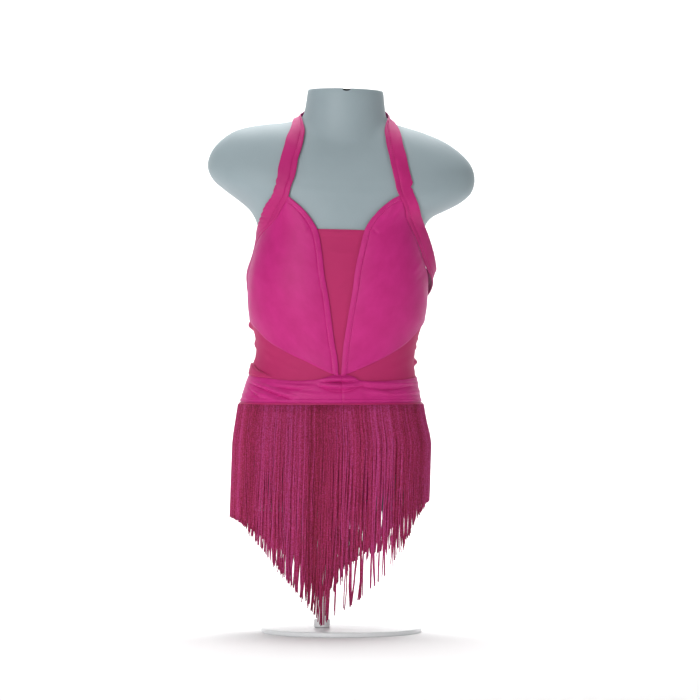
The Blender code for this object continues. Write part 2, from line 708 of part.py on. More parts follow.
def make_halter_bands(material, collection):
    for side in ("left", "right"):
        spaced, length = evenly_along(band_stations(side), BAND_STEPS)
        points = []
        for column in range(BAND_COLUMNS + 1):
            across = column / BAND_COLUMNS
            line = []
            for k, station in enumerate(spaced):
                place = band_point(station, across)
                width = (band_point(station, 1.0) - band_point(station, 0.0)).normalized()
                line.append(place + width * gather(side, k / BAND_STEPS, length) * across * across)
            points.append(line)
        cloth_from_points(f"halter_band_{side}", points, STRETCH_CLOTH.wall, material, collection)


def fold_height(x, z, folds):
    """The height of a table's folds at a place in the front view."""
    total = 0.0
    for fold in folds:
        along = Vector((fold.x1 - fold.x0, fold.z1 - fold.z0))
        share = Vector((x - fold.x0, z - fold.z0)).dot(along) / along.length_squared
        if not 0.0 < share < 1.0:
            continue
        line_z = fold.z0 + (fold.z1 - fold.z0) * share - fold.sag * math.sin(math.pi * share)
        off = abs(z - line_z) / fold.half_width
        if off < 1.0:
            across = math.cos(math.pi * off / 2) ** 2
            total = max(total, fold.height * math.sin(math.pi * share) ** 0.7 * across)
    return total


def brief_relief(u, v, position):
    """The folds fade out at the side seam and where the fringe's tape lies over the brief."""
    place = skin(*position)
    clear = min((SIDE_ANGLE - abs(position[0])) / 6, (place.z - TAPE_TOP_Z - 1) / 3, 1.0)
    return fold_height(place.x, place.z, BRIEF_FOLDS) * max(clear, 0.0)


def make_brief(material, collection):
    """The brief: two fronts with a seam between them, one back, and a gusset hanging under the form."""
    for side in ("left", "right"):
        sign = -1.0 if side == "left" else 1.0
        seam_x = FRONT_MIDDLE + sign * SEAM_GAP / 2
        top_line = [at_angle(sign * SIDE_ANGLE, BRIEF_SIDE_TOP[side])]
        top_line += [at_front(x, z) for x, z in BRIEF_TOP[side][:-1]] + [at_front(seam_x, 321.5)]
        top = edge((top_line, BRIEF_COLUMNS))
        leg = [at_angle(sign * SIDE_ANGLE, LEG_TOP_Z)]
        leg += [at_front(FRONT_MIDDLE + sign * x, z) for x, z in LEG_CURVE]
        side_at_tape = at_angle(sign * SIDE_ANGLE, TAPE_TOP_Z)
        seam_at_tape = at_front(seam_x, TAPE_TOP_Z)
        outer = edge((list(reversed(leg)), 6), ([leg[0], side_at_tape], 3),
                     ([side_at_tape, top[0]], FOLD_ROWS))
        inner = edge(([at_front(seam_x, GUSSET_TOP_Z), seam_at_tape], 9),
                     ([seam_at_tape, top[-1]], FOLD_ROWS))
        bottom = edge(([outer[0], inner[0]], BRIEF_COLUMNS))
        edges = (bottom, top, outer, inner)
        cloth_panel(f"brief_front_{side}", STRETCH_CLOTH, edges, material, collection, brief_relief)
    seam = SIDE_ANGLE + 0.4
    back_leg = [at_angle(seam, LEG_TOP_Z)]
    back_leg += [at_angle(180.0 - angle, z)
                 for angle, z in ((72.0, 214.0), (50.0, 190.0), (31.0, GUSSET_TOP_Z))]
    other_leg = [(360.0 - angle, level) for angle, level in back_leg]
    top_line = [(seam, BRIEF_SIDE_TOP["right"]), (135.0, BACK_TOP_Z), (180.0, BACK_TOP_Z),
                (225.0, BACK_TOP_Z),
                (360.0 - seam, BRIEF_SIDE_TOP["left"])]
    top = edge(([at_angle(angle, z) for angle, z in top_line], 24))
    start = edge((list(reversed(back_leg)), 5), ([back_leg[0], top[0]], 6))
    end = edge((list(reversed(other_leg)), 5), ([other_leg[0], top[-1]], 6))
    bottom = edge(([start[0], end[0]], 24))
    cloth_panel("brief_back", STRETCH_CLOTH, (bottom, top, start, end), material, collection)
    make_gusset(material, collection)


def make_gusset(material, collection):
    """The gusset hangs in a curve from the front of the brief to its back, clear of the form's underside."""
    steps, columns = 12, 4
    ends = [
        above_skin(*place, STRETCH_CLOTH.lift + STRETCH_CLOTH.wall)
        for place in (at_front(FRONT_MIDDLE, GUSSET_TOP_Z), at_angle(180.0, GUSSET_TOP_Z))
    ]
    front_y, back_y = ends[0].y + STRETCH_CLOTH.wall, ends[1].y - STRETCH_CLOTH.wall
    top_z = min(end.z for end in ends) - 2 * SEAM_GAP
    points = []
    for j in range(steps + 1):
        turn = math.pi * j / steps
        y = (front_y + back_y) / 2 - (back_y - front_y) / 2 * math.cos(turn)
        z = top_z - (top_z - GUSSET_LOW_Z) * math.sin(turn) ** 0.75
        sag = math.sin(turn) ** 0.5
        half = GUSSET_HALF_TOP + (GUSSET_HALF_MIDDLE - GUSSET_HALF_TOP) * sag
        middle = FRONT_MIDDLE + GUSSET_SWING * sag
        points.append([Vector((middle + half * (2 * i / columns - 1), y, z)) for i in range(columns + 1)])
    cloth_from_points("gusset", points, STRETCH_CLOTH.wall, material, collection)


# The fringe


def cut_height(cut, x):
    """The height of the strands' ends over the floor at x."""
    if x <= cut[0].x:
        return cut[0].z
    for a, b in zip(cut, cut[1:]):
        if x <= b.x:
            return a.z + (b.z - a.z) * (x - a.x) / (b.x - a.x)
    return cut[-1].z


def tape_point(angle, z, lift):
    return above_skin(*at_angle(angle, z), lift)


def hanging_point(angle, z, lift):
    """A point of a strand: it lies over the hips, then hangs straight, leaning a little to the left."""
    if z >= HANG_FROM_Z:
        return tape_point(angle, z, lift)
    top = tape_point(angle, HANG_FROM_Z, lift)
    return Vector((top.x - FRINGE_LEAN * (HANG_FROM_Z - z), top.y, z))


def even_angles(start, end, count):
    """Angles that divide the tape's run round the hips into equal lengths."""
    fine = 240
    angles = [start + (end - start) * k / fine for k in range(fine + 1)]
    places = [tape_point(angle, TAPE_TOP_Z, FRINGE_TAPE.lift) for angle in angles]
    travelled = [0.0]
    for a, b in zip(places, places[1:]):
        travelled.append(travelled[-1] + (b - a).length)
    found, span = [], 0
    for k in range(count + 1):
        wanted = travelled[-1] * k / count
        while span < fine - 1 and travelled[span + 1] < wanted:
            span += 1
        share = (wanted - travelled[span]) / (travelled[span + 1] - travelled[span])
        found.append(angles[span] + (angles[span + 1] - angles[span]) * share)
    return found


def make_fringe_half(name, start, end, cut, seed, material, collection):
    """A tape round one half of the hips, with its strands drawn down out of its lower edge."""
    shuffle = random.Random(seed)
    slots = even_angles(start, end, STRANDS_PER_HALF)
    bounds = []
    for a, b in zip(slots, slots[1:]):
        margin = (b - a) * (1 - STRAND_SHARE) / 2
        bounds += [a + margin, b - margin]
    inner, outer = FRINGE_TAPE.lift, FRINGE_TAPE.lift + FRINGE_TAPE.wall
    low_z = TAPE_TOP_Z - TAPE_HEIGHT
    bm = bmesh.new()

    def ring_corner(angle, z, lift):
        return bm.verts.new(tape_point(angle, z, lift) * MM)

    corners = [
        [ring_corner(angle, z, lift) for z, lift in ((TAPE_TOP_Z, inner), (TAPE_TOP_Z, outer),
                                                     (low_z, outer), (low_z, inner))]
        for angle in bounds
    ]
    for k, (a, b) in enumerate(zip(corners, corners[1:])):
        for i in range(4):
            following = (i + 1) % 4
            is_root = k % 2 == 0 and i == 2
            if not is_root:
                bm.faces.new((a[i], b[i], b[following], a[following]))
        if k % 2 == 0:
            draw_strand(bm, a, b, bounds[k], bounds[k + 1], cut, shuffle)
    bm.faces.new(corners[0])
    bm.faces.new(list(reversed(corners[-1])))
    bmesh.ops.recalc_face_normals(bm, faces=bm.faces)
    return object_from(bm, name, material, collection)


def draw_strand(bm, a, b, start, end, cut, shuffle):
    """Draws one strand down from its four root corners to its end at the cut."""
    middle = (start + end) / 2
    reach = FRINGE_TAPE.lift
    end_z = HANG_FROM_Z
    for _ in range(4):
        end_z = cut_height(cut, hanging_point(middle, end_z, reach).x)
    end_z += shuffle.uniform(0, STRAND_RAGGED)
    above = [a[3], b[3], b[2], a[2]]
    for z in (262.0, HANG_FROM_Z, end_z):
        places = [
            hanging_point(start, z, reach),
            hanging_point(end, z, reach),
            hanging_point(end, z, reach + STRAND_THICK),
            hanging_point(start, z, reach + STRAND_THICK),
        ]
        below = [bm.verts.new(place * MM) for place in places]
        for i in range(4):
            following = (i + 1) % 4
            bm.faces.new((above[i], above[following], below[following], below[i]))
        above = below
    bm.faces.new(above)


def make_fringe(material, collection):
    edge_angle = SIDE_ANGLE
    make_fringe_half("fringe_front", -edge_angle, edge_angle, FRONT_CUT, 11, material, collection)
    make_fringe_half("fringe_back", edge_angle + 1.0, 359.0 - edge_angle, BACK_CUT, 12, material, collection)


def main():
    clear_scene()
    collection = new_collection("fringe_leotard_on_dress_form")
    stretch = new_material("stretch_cloth", MAGENTA, 0.45)
    mesh_cloth = new_material("mesh_cloth", RASPBERRY, 0.7)
    fringe = new_material("fringe_yarn", FRINGE_RED, 0.6)
    form = new_material("form_shell", FORM_GREY, 0.4)
    stand = new_material("stand_metal", STAND_WHITE, 0.35)
    make_dress_form(form, collection)
    make_base(stand, collection)
    make_post(stand, collection)
    make_cups(stretch, collection)
    make_neckline_inset(mesh_cloth, collection)
    make_waist_mesh(mesh_cloth, collection)
    make_halter_bands(stretch, collection)
    make_brief(stretch, collection)
    make_fringe(fringe, collection)


main()
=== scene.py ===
# %% [markdown]
# # A fringed dance leotard on a dress form
# The real thing is a stretch leotard for a child: two cups with turned hems, a wedge of mesh between them,
# mesh over the midriff, a halter band and a brief whose fringe hangs in a long point. A smooth torso form
# wears it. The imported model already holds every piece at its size. This script gives each one its fine
# surface.
#
# All measures below are in millimetres. Left and right are the viewer's, and the front faces -Y.

import math
from collections import namedtuple

import bpy
import numpy as np
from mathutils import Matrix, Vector


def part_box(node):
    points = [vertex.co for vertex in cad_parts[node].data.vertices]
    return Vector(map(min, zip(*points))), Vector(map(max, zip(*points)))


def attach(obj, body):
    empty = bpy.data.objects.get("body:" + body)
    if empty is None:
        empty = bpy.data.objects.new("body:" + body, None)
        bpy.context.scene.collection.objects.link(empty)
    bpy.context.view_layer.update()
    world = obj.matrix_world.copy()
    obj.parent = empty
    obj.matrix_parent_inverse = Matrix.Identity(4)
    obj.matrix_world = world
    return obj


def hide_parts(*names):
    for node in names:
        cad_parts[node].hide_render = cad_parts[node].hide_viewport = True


MM = 0.001

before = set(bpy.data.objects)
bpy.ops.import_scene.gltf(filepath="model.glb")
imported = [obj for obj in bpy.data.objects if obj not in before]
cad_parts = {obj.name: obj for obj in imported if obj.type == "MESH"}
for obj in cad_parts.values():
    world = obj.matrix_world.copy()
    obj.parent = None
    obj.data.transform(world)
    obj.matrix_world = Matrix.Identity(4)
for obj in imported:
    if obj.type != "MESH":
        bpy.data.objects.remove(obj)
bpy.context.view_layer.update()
bpy.ops.object.select_all(action="DESELECT")
print("nodes:", len(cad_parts))

# %% [markdown]
# ## Floor, light and camera
# A flat product photo needs a pale sweep with no corner in it, one large soft light from the left and a
# weaker one from the right. The room is dim where it lights the cloth and white where the camera sees it. The
# camera stands far back and level, so that the figure keeps its outline.

# %% Pale sweep
SWEEP_DEPTH = 2.2
SWEEP_HEIGHT = 3.0


def finish_origin(obj):
    """Puts the object's place into its mesh."""
    bpy.ops.object.select_all(action="DESELECT")
    obj.select_set(True)
    bpy.context.view_layer.objects.active = obj
    bpy.ops.object.transform_apply(location=True, rotation=True, scale=True)


bpy.ops.mesh.primitive_plane_add(size=2.0, location=(0, 0, 0))
sweep = bpy.context.object
sweep.name = "pale_sweep"
sweep.scale = (7.0, 7.0, 1.0)
finish_origin(sweep)
bpy.ops.object.mode_set(mode="EDIT")
bpy.ops.mesh.select_mode(type="EDGE")
bpy.ops.mesh.select_all(action="DESELECT")
bpy.ops.object.mode_set(mode="OBJECT")
for edge in sweep.data.edges:
    edge.select = all(sweep.data.vertices[i].co.y > 0 for i in edge.vertices)
bpy.ops.object.mode_set(mode="EDIT")
bpy.ops.mesh.extrude_region_move(TRANSFORM_OT_translate={"value": (0, 0, SWEEP_HEIGHT * 2)})
bpy.ops.object.mode_set(mode="OBJECT")
for vertex in sweep.data.vertices:
    if vertex.co.y > 0:
        vertex.co.y = SWEEP_DEPTH
bevel = sweep.modifiers.new("corner", "BEVEL")
bevel.width = 1.2
bevel.segments = 16
bpy.ops.object.modifier_apply(modifier="corner")
bpy.ops.object.shade_smooth()
print("sweep faces:", len(sweep.data.polygons))

# %% Room
ROOM_LIGHT = 0.27

world = bpy.data.worlds.new("soft_room")
world.use_nodes = True
room_tree = world.node_tree
room, room_out = room_tree.nodes["Background"], room_tree.nodes["World Output"]
room.inputs["Strength"].default_value = ROOM_LIGHT
seen_room = room_tree.nodes.new("ShaderNodeBackground")
ray, pick = room_tree.nodes.new("ShaderNodeLightPath"), room_tree.nodes.new("ShaderNodeMixShader")
for source, target in ((ray.outputs["Is Camera Ray"], pick.inputs[0]), (room.outputs[0], pick.inputs[1]),
                       (seen_room.outputs[0], pick.inputs[2]), (pick.outputs[0], room_out.inputs["Surface"])):
    room_tree.links.new(source, target)
for background in (room, seen_room):
    background.inputs["Color"].default_value = (1.0, 1.0, 1.0, 1.0)
bpy.context.scene.world = world
print("room strength:", ROOM_LIGHT)

# %% Lights


def soft_light(name, place, aim, width, watts):
    """A square area light at a place, turned towards a point."""
    bpy.ops.object.light_add(type="AREA", location=place)
    light = bpy.context.object
    light.name = name
    light.data.size = width
    light.data.energy = watts
    light.rotation_euler = (Vector(aim) - Vector(place)).to_track_quat("-Z", "Y").to_euler()
    return light


soft_light("window_left", (-1.5, -3.2, 1.0), (0, 0, 0.35), 1.7, 64)
soft_light("fill_right", (2.6, -2.4, 1.0), (0, 0, 0.35), 2.0, 4)
soft_light("sweep_wash", (0.0, 1.3, 2.9), (0, 2.2, 0.3), 2.4, 120)

# %% Camera
FRAME_WIDTH = 875.0
CAMERA_FAR = 5000.0
VIEW_X, VIEW_Z = 11.0, 352.5

bpy.ops.object.camera_add(location=(VIEW_X * MM, -CAMERA_FAR * MM, VIEW_Z * MM), rotation=(math.pi / 2, 0, 0))
camera = bpy.context.object
camera.name = "front_camera"
camera.data.sensor_width = 36.0
camera.data.lens = 36.0 * CAMERA_FAR / FRAME_WIDTH
camera.data.clip_end = 30.0
bpy.context.scene.camera = camera
bpy.context.scene.view_settings.view_transform = "Standard"
print("lens:", round(camera.data.lens, 1))

# %% [markdown]
# ## The figure under the cloth
# Every piece of cloth lies on the form, so the form comes first, as a table of its sections from the neck
# down. A point of its skin is named by an angle from the front and a level down the table. Working in those
# two numbers lets a panel, a band or a strand follow the body with no fitting afterwards.

# %% Table of sections
Section = namedtuple("Section", "side side_z front front_z back back_z middle corner drop")
FIGURE = [
    Section(45.5, 677.0, 43.0, 677.0, 45.0, 677.0, 5.5, 2.00, 0.025),  # neck rim
    Section(47.3, 674.5, 44.8, 674.5, 46.8, 674.5, 5.5, 2.00, 0.025),
    Section(49.5, 657.0, 46.0, 650.0, 48.0, 658.0, 5.0, 2.00, 0.025),
    Section(52.0, 645.0, 47.5, 626.0, 50.5, 649.0, 4.5, 2.00, 0.025),
    Section(59.0, 638.5, 50.5, 609.0, 54.5, 642.0, 4.0, 2.05, 0.030),  # neck root
    Section(77.0, 633.5, 55.0, 598.0, 60.0, 633.0, 3.0, 2.10, 0.035),
    Section(101.5, 628.8, 59.5, 588.0, 64.5, 623.0, 0.5, 2.15, 0.048),
    Section(129.0, 620.0, 63.0, 578.5, 68.0, 612.0, -1.0, 2.20, 0.056),
    Section(149.5, 606.5, 65.5, 570.0, 70.0, 601.0, -0.5, 2.25, 0.055),
    Section(162.5, 591.0, 67.5, 562.0, 71.5, 590.0, 0.0, 2.30, 0.052),
    Section(167.0, 573.5, 69.0, 554.5, 72.5, 578.0, 0.0, 2.30, 0.052),  # shoulder cap
    Section(161.5, 557.0, 70.5, 547.5, 73.0, 565.0, 0.5, 2.30, 0.058),
    Section(147.0, 544.0, 71.5, 540.0, 73.0, 553.0, 0.5, 2.30, 0.060),
    Section(129.5, 533.0, 72.5, 532.0, 73.0, 541.0, 0.5, 2.30, 0.052),
    Section(114.0, 522.5, 73.5, 523.0, 72.5, 529.0, 0.0, 2.30, 0.036),
    Section(105.5, 509.5, 74.5, 511.0, 72.0, 515.0, 0.0, 2.30, 0.012),  # armpit
    Section(103.2, 493.0, 76.0, 494.0, 71.0, 495.0, 0.2, 2.30, 0.000),
    Section(105.4, 470.0, 78.0, 470.0, 69.5, 470.0, -1.4, 2.30, 0.000),
    Section(108.0, 445.0, 79.5, 445.0, 68.5, 445.0, -4.0, 2.30, 0.000),
    Section(108.5, 420.0, 79.5, 420.0, 67.5, 420.0, -4.5, 2.30, 0.000),  # bust
    Section(106.0, 392.0, 77.0, 392.0, 65.5, 392.0, -5.0, 2.30, 0.000),
    Section(99.8, 368.0, 73.5, 368.0, 63.5, 368.0, -5.8, 2.30, 0.000),
    Section(97.5, 350.0, 72.0, 350.0, 63.0, 350.0, -7.1, 2.30, 0.000),  # waist
    Section(98.6, 332.0, 72.5, 332.0, 65.0, 332.0, -9.1, 2.30, 0.000),
    Section(104.2, 310.0, 75.0, 310.0, 69.0, 310.0, -11.9, 2.30, 0.000),
    Section(109.5, 287.0, 78.0, 287.0, 74.5, 287.0, -13.0, 2.30, 0.000),
    Section(113.2, 262.0, 80.5, 262.0, 78.5, 262.0, -12.8, 2.30, 0.000),
    Section(117.3, 238.0, 82.0, 238.0, 81.0, 238.0, -11.8, 2.30, 0.000),  # hips
    Section(118.0, 212.0, 82.0, 212.0, 81.0, 212.0, -12.5, 2.30, 0.000),
    Section(115.0, 188.0, 80.0, 188.0, 79.0, 188.0, -12.5, 2.30, 0.000),
    Section(110.0, 168.0, 76.5, 168.0, 75.5, 168.0, -12.5, 2.30, 0.000),
    Section(105.0, 156.0, 73.0, 156.0, 72.0, 156.0, -12.5, 2.30, 0.000),
    Section(101.0, 153.0, 70.0, 153.0, 69.0, 153.0, -12.5, 2.30, 0.000),  # cut underneath
]
SECTIONS = np.array(FIGURE)
LAST = len(FIGURE) - 1

# %% Points on the skin


def between(before, start, end, after, share):
    """A Catmull-Rom curve between start and end."""
    slope_in, slope_out = (end - before) / 2, (after - start) / 2
    square, cube = share**2, share**3
    return (
        (2 * cube - 3 * square + 1) * start
        + (cube - 2 * square + share) * slope_in
        + (3 * square - 2 * cube) * end
        + (cube - square) * slope_out
    )


def section_at(level):
    """The sections at an array of levels, one column for each size."""
    level = np.clip(np.asarray(level, float), 0.0, LAST)
    row = np.minimum(level.astype(int), LAST - 1)
    share = (level - row)[..., None]
    near = [np.clip(row + k, 0, LAST) for k in (-1, 0, 1, 2)]
    values = between(*(SECTIONS[k] for k in near), share)
    return Section(*np.moveaxis(values, -1, 0))


def skin(angle, level):
    """Points of the skin at angles in degrees from the front, positive towards +X, and at levels."""
    s = section_at(level)
    sine, cosine = np.sin(np.radians(angle)), np.cos(np.radians(angle))
    power = 2.0 / s.corner
    ahead = cosine > 0
    x = s.middle + s.side * np.sign(sine) * np.abs(sine) ** power
    y = -np.where(ahead, s.front, s.back) * np.sign(cosine) * np.abs(cosine) ** power
    z = s.side_z + (np.where(ahead, s.front_z, s.back_z) - s.side_z) * cosine**2
    return np.stack([x, y, z - s.drop * x], axis=-1)


def unit(vectors):
    return vectors / np.maximum(np.linalg.norm(vectors, axis=-1, keepdims=True), 1e-12)


def outward(angle, level):
    turn, step = 2.0, 0.1
    round_it = skin(angle + turn, level) - skin(angle - turn, level)
    down_it = skin(angle, level + step) - skin(angle, level - step)
    return unit(np.cross(down_it, round_it))


def above_skin(chart, lift):
    """Points a height above the skin, for chart positions of angle and level."""
    chart = np.asarray(chart, float)
    angle, level = chart[..., 0], chart[..., 1]
    return skin(angle, level) + outward(angle, level) * np.asarray(lift, float)[..., None]


def level_where(angle_at, z):
    high, low = np.zeros_like(z), np.full_like(z, LAST)
    for _ in range(36):
        middle = (high + low) / 2
        over = skin(angle_at(middle), middle)[..., 2] > z
        high, low = np.where(over, middle, high), np.where(over, low, middle)
    return (high + low) / 2


def at_angle(angle, z):
    """Chart positions at angles and heights."""
    angle, z = np.broadcast_arrays(np.asarray(angle, float), np.asarray(z, float))
    return np.stack([angle, level_where(lambda level: angle, z)], axis=-1)


SEEN_LIFT = 3.3


def at_front(x, z):
    """Chart positions under the cloth, SEEN_LIFT off the skin, that the front view shows at x and z."""
    x, z = np.broadcast_arrays(np.asarray(x, float), np.asarray(z, float))

    def angle_at(level):
        s = section_at(level)
        share = np.clip((x - s.middle) / (s.side + SEEN_LIFT), -1.0, 1.0)
        return np.degrees(np.arcsin(np.sign(share) * np.abs(share) ** (s.corner / 2)))

    level = level_where(angle_at, z)
    return np.stack([angle_at(level), level], axis=-1)


print("chest front:", skin(np.array(0.0), np.array(19.0)).round(1))

# %% [markdown]
# ## Edges and panels
# A garment maker draws the edges of a piece and cuts the cloth between them. Here four edges, each a smooth
# run of chart positions, are filled to a fine grid of positions, which a grid primitive is then laid on.
# Solidify gives the cloth its wall. The grid keeps its own UV map in metres, so that a knit runs true along
# the piece.

# %% Smooth edges
FINE = 10


def smooth_run(points):
    """A smooth curve through the given rows, FINE steps to each."""
    points = np.asarray(points, float)
    last = len(points) - 1
    dense = []
    for i in range(last):
        near = [points[min(max(k, 0), last)] for k in (i - 1, i, i + 1, i + 2)]
        dense += [between(*near, k / FINE) for k in range(FINE)]
    return np.array(dense + [points[-1]])


def travelled(places):
    steps = np.linalg.norm(np.diff(places, axis=0), axis=1)
    return np.concatenate([[0.0], np.cumsum(steps)])


def spread_along(points, shares):
    """Chart positions at the given shares of the length of a smooth curve through the points."""
    dense = smooth_run(points)
    run = travelled(skin(dense[:, 0], dense[:, 1]))
    return np.stack([np.interp(shares * run[-1], run, dense[:, k]) for k in range(2)], axis=-1)


def even(steps):
    return np.linspace(0.0, 1.0, steps + 1)


def edge_of(*runs):
    """One edge, of smooth runs that meet at corners. Each run is its points and its steps or shares."""
    joined = None
    for points, steps in runs:
        shares = even(steps) if isinstance(steps, int) else steps
        spaced = spread_along(points, shares)
        joined = spaced if joined is None else np.concatenate([joined, spaced[1:]])
    return joined


def filled(bottom, top, start, end, shares):
    """A grid of chart positions inside four edges, in rows from the bottom up."""
    u = shares[None, :, None]
    v = even(len(start) - 1)[:, None, None]
    b, t, s, e = bottom[None], top[None], start[:, None], end[:, None]
    low = (1 - u) * (1 - v) * b[:, :1] + u * (1 - v) * b[:, -1:]
    corners = low + (1 - u) * v * t[:, :1] + u * v * t[:, -1:]
    return (1 - v) * b + v * t + (1 - u) * s + u * e - corners


# %% Cloth laid on a grid
STRETCH_LIFT, STRETCH_WALL = 2.5, 1.2
MESH_LIFT, MESH_WALL = 0.9, 1.0
TAPE_LIFT = 4.6
Cut = namedtuple("Cut", "width length area")
cloth_cuts = {}


def select_only(obj):
    bpy.ops.object.select_all(action="DESELECT")
    obj.select_set(True)
    bpy.context.view_layer.objects.active = obj


def grid_lengths(places):
    """Each point's distance along its row and its column, in millimetres."""
    along_row = np.linalg.norm(np.diff(places, axis=1), axis=2)
    along_column = np.linalg.norm(np.diff(places, axis=0), axis=2)
    u = np.concatenate([np.zeros((len(places), 1)), np.cumsum(along_row, axis=1)], axis=1)
    v = np.concatenate([np.zeros((1, places.shape[1])), np.cumsum(along_column, axis=0)], axis=0)
    return u - u[:, -1:] / 2, v


def worn_size(places):
    """The width, length and area of a grid of points as it lies, in metres."""
    u, v = grid_lengths(places)
    first, second = places[1:, 1:] - places[:-1, :-1], places[1:, :-1] - places[:-1, 1:]
    area = np.linalg.norm(np.cross(first, second), axis=2).sum() / 2
    return Cut(float((u[:, -1] - u[:, 0]).max()) * MM, float(v[-1].max()) * MM, float(area) * MM**2)


def lay_cloth(name, places, wall, material):
    """A wall of cloth whose inner face passes through a grid of points, in rows from the bottom up."""
    centre = places.mean(axis=(0, 1)) * [0, 0, 1]
    across, up = places[:-1, 1:] - places[:-1, :-1], places[1:, :-1] - places[:-1, :-1]
    if np.sum(np.cross(across, up) * ((places[:-1, :-1] - centre) * [1, 1, 0])) < 0:
        places = places[:, ::-1]
    rows, columns = places.shape[0] - 1, places.shape[1] - 1
    bpy.ops.mesh.primitive_grid_add(x_subdivisions=columns, y_subdivisions=rows, size=2, calc_uvs=True)
    cloth = bpy.context.object
    cloth.name = cloth.data.name = name
    flat = np.empty(len(cloth.data.vertices) * 3)
    cloth.data.vertices.foreach_get("co", flat)
    flat = flat.reshape(-1, 3)
    column = np.rint((flat[:, 0] + 1) / 2 * columns).astype(int)
    row = np.rint((flat[:, 1] + 1) / 2 * rows).astype(int)
    cloth.data.vertices.foreach_set("co", (places[row, column] * MM).ravel())
    corner = np.empty(len(cloth.data.loops), dtype=np.int32)
    cloth.data.loops.foreach_get("vertex_index", corner)
    u, v = grid_lengths(places)
    knit = np.stack([u[row, column], v[row, column]], axis=-1)[corner] * MM
    cloth.data.uv_layers.active.data.foreach_set("uv", knit.ravel())
    cloth.data.update()
    shell = cloth.modifiers.new("wall", "SOLIDIFY")
    shell.thickness = wall * MM
    shell.offset = 1.0
    select_only(cloth)
    bpy.ops.object.modifier_apply(modifier="wall")
    bpy.ops.object.shade_smooth_by_angle(angle=math.radians(55))
    cloth.data.materials.append(material)
    cloth_cuts[name] = worn_size(places)
    print(name, "faces:", len(cloth.data.polygons))
    return cloth


def wear(piece, node):
    """Puts a fine piece in its node's place."""
    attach(piece, "root")
    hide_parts(node)
    return piece


# %% Creases
Crease = namedtuple("Crease", "x0 z0 x1 z1 sag height half_width")


def crease_height(places, table):
    """The height of soft ridges and troughs over a grid of points, from their lines in the front view."""
    x, z = places[..., 0], places[..., 2]
    total = np.zeros_like(x)
    for c in table:
        run = np.array([c.x1 - c.x0, c.z1 - c.z0])
        share = ((x - c.x0) * run[0] + (z - c.z0) * run[1]) / (run @ run)
        inside = np.clip(share, 0.0, 1.0)
        belly = np.sin(np.pi * inside)
        line_x = c.x0 + run[0] * inside
        line_z = c.z0 + run[1] * inside - c.sag * belly
        off = np.hypot(x - line_x, z - line_z) / (c.half_width * (0.55 + 0.45 * belly))
        total += c.height * belly**0.8 * np.exp(-(off**2) * 1.6)
    return total


SideBump = namedtuple("SideBump", "z height half_width reach")
SIDE_BUMPS = {
    "left": [
        SideBump(384.0, 4.8, 7.6, 14.0),
        SideBump(360.0, 2.2, 7.0, 16.0),
        SideBump(346.0, 0.5, 4.0, 12.0),
    ],
    "right": [
        SideBump(366.5, 0.9, 4.0, 9.0),
        SideBump(356.0, 1.2, 4.0, 10.0),
        SideBump(337.5, 4.1, 5.2, 13.0),
        SideBump(326.0, 0.4, 3.0, 10.0),
    ],
}


def bump_height(chart, places):
    """The few uneven lumps that loose mesh makes beside the side seams."""
    from_front = np.minimum(np.abs(chart[..., 0]), 360.0 - np.abs(chart[..., 0]))
    from_seam = np.abs(91.0 - from_front) * 1.6
    total = np.zeros_like(from_seam)
    for side, bumps in SIDE_BUMPS.items():
        here = (places[..., 0] < 0) == (side == "left")
        for b in bumps:
            off = np.clip(np.abs(places[..., 2] - b.z) / b.half_width, 0, 1)
            beside = np.clip(1.0 - from_seam / b.reach, 0.0, 1.0)
            total += here * b.height * beside * np.cos(np.pi * off / 2) ** 1.6
    return total


# %% [markdown]
# ## Finishes
# The leotard has three cloths: a satin stretch knit that glows a little at grazing angles, a matt mesh with
# the form's grey showing through its tiny holes, and chainette yarn. Each pattern reads the piece's own UV
# map or attribute in metres. The form is satin plastic, and the stand is powder coated.

# %% Node helpers


def new_finish(name, colour, roughness, sheen=0.0, coat=0.0):
    """A material with its shader, its node tree and a way to add nodes."""
    material = bpy.data.materials.new(name)
    material.use_nodes = True
    tree = material.node_tree
    shader = tree.nodes["Principled BSDF"]
    shader.inputs["Base Color"].default_value = (*colour, 1.0)
    shader.inputs["Roughness"].default_value = roughness
    shader.inputs["Sheen Weight"].default_value = sheen
    shader.inputs["Sheen Roughness"].default_value = 0.35
    shader.inputs["Coat Weight"].default_value = coat
    return material, tree, shader


def add_node(tree, kind, links=(), **values):
    """Adds a node, sets its inputs by name and links (from_node, output, input) to it."""
    node = tree.nodes.new(kind)
    for key, value in values.items():
        if key in node.inputs:
            node.inputs[key].default_value = value
        else:
            setattr(node, key, value)
    for source, output, target in links:
        tree.links.new(source.outputs[output], node.inputs[target])
    return node


def two_tone(tree, factor, output, first, second):
    mix = add_node(tree, "ShaderNodeMix", data_type="RGBA")
    mix.inputs["A"].default_value = (*first, 1.0)
    mix.inputs["B"].default_value = (*second, 1.0)
    tree.links.new(factor.outputs[output], mix.inputs["Factor"])
    return mix


def scaled_uv(tree, scale):
    uv = add_node(tree, "ShaderNodeTexCoord")
    return add_node(tree, "ShaderNodeMapping", [(uv, "UV", "Vector")], Scale=scale)


def bump(tree, shader, source, output, strength, distance):
    node = add_node(tree, "ShaderNodeBump", [(source, output, "Height")],
                    Strength=strength, Distance=distance)
    tree.links.new(node.outputs["Normal"], shader.inputs["Normal"])
    return node


# %% Stretch knit
STRETCH_DEEP = (0.47, 0.014, 0.168)
STRETCH_BRIGHT = (0.54, 0.021, 0.208)
WALES_PER_METRE = 1400.0


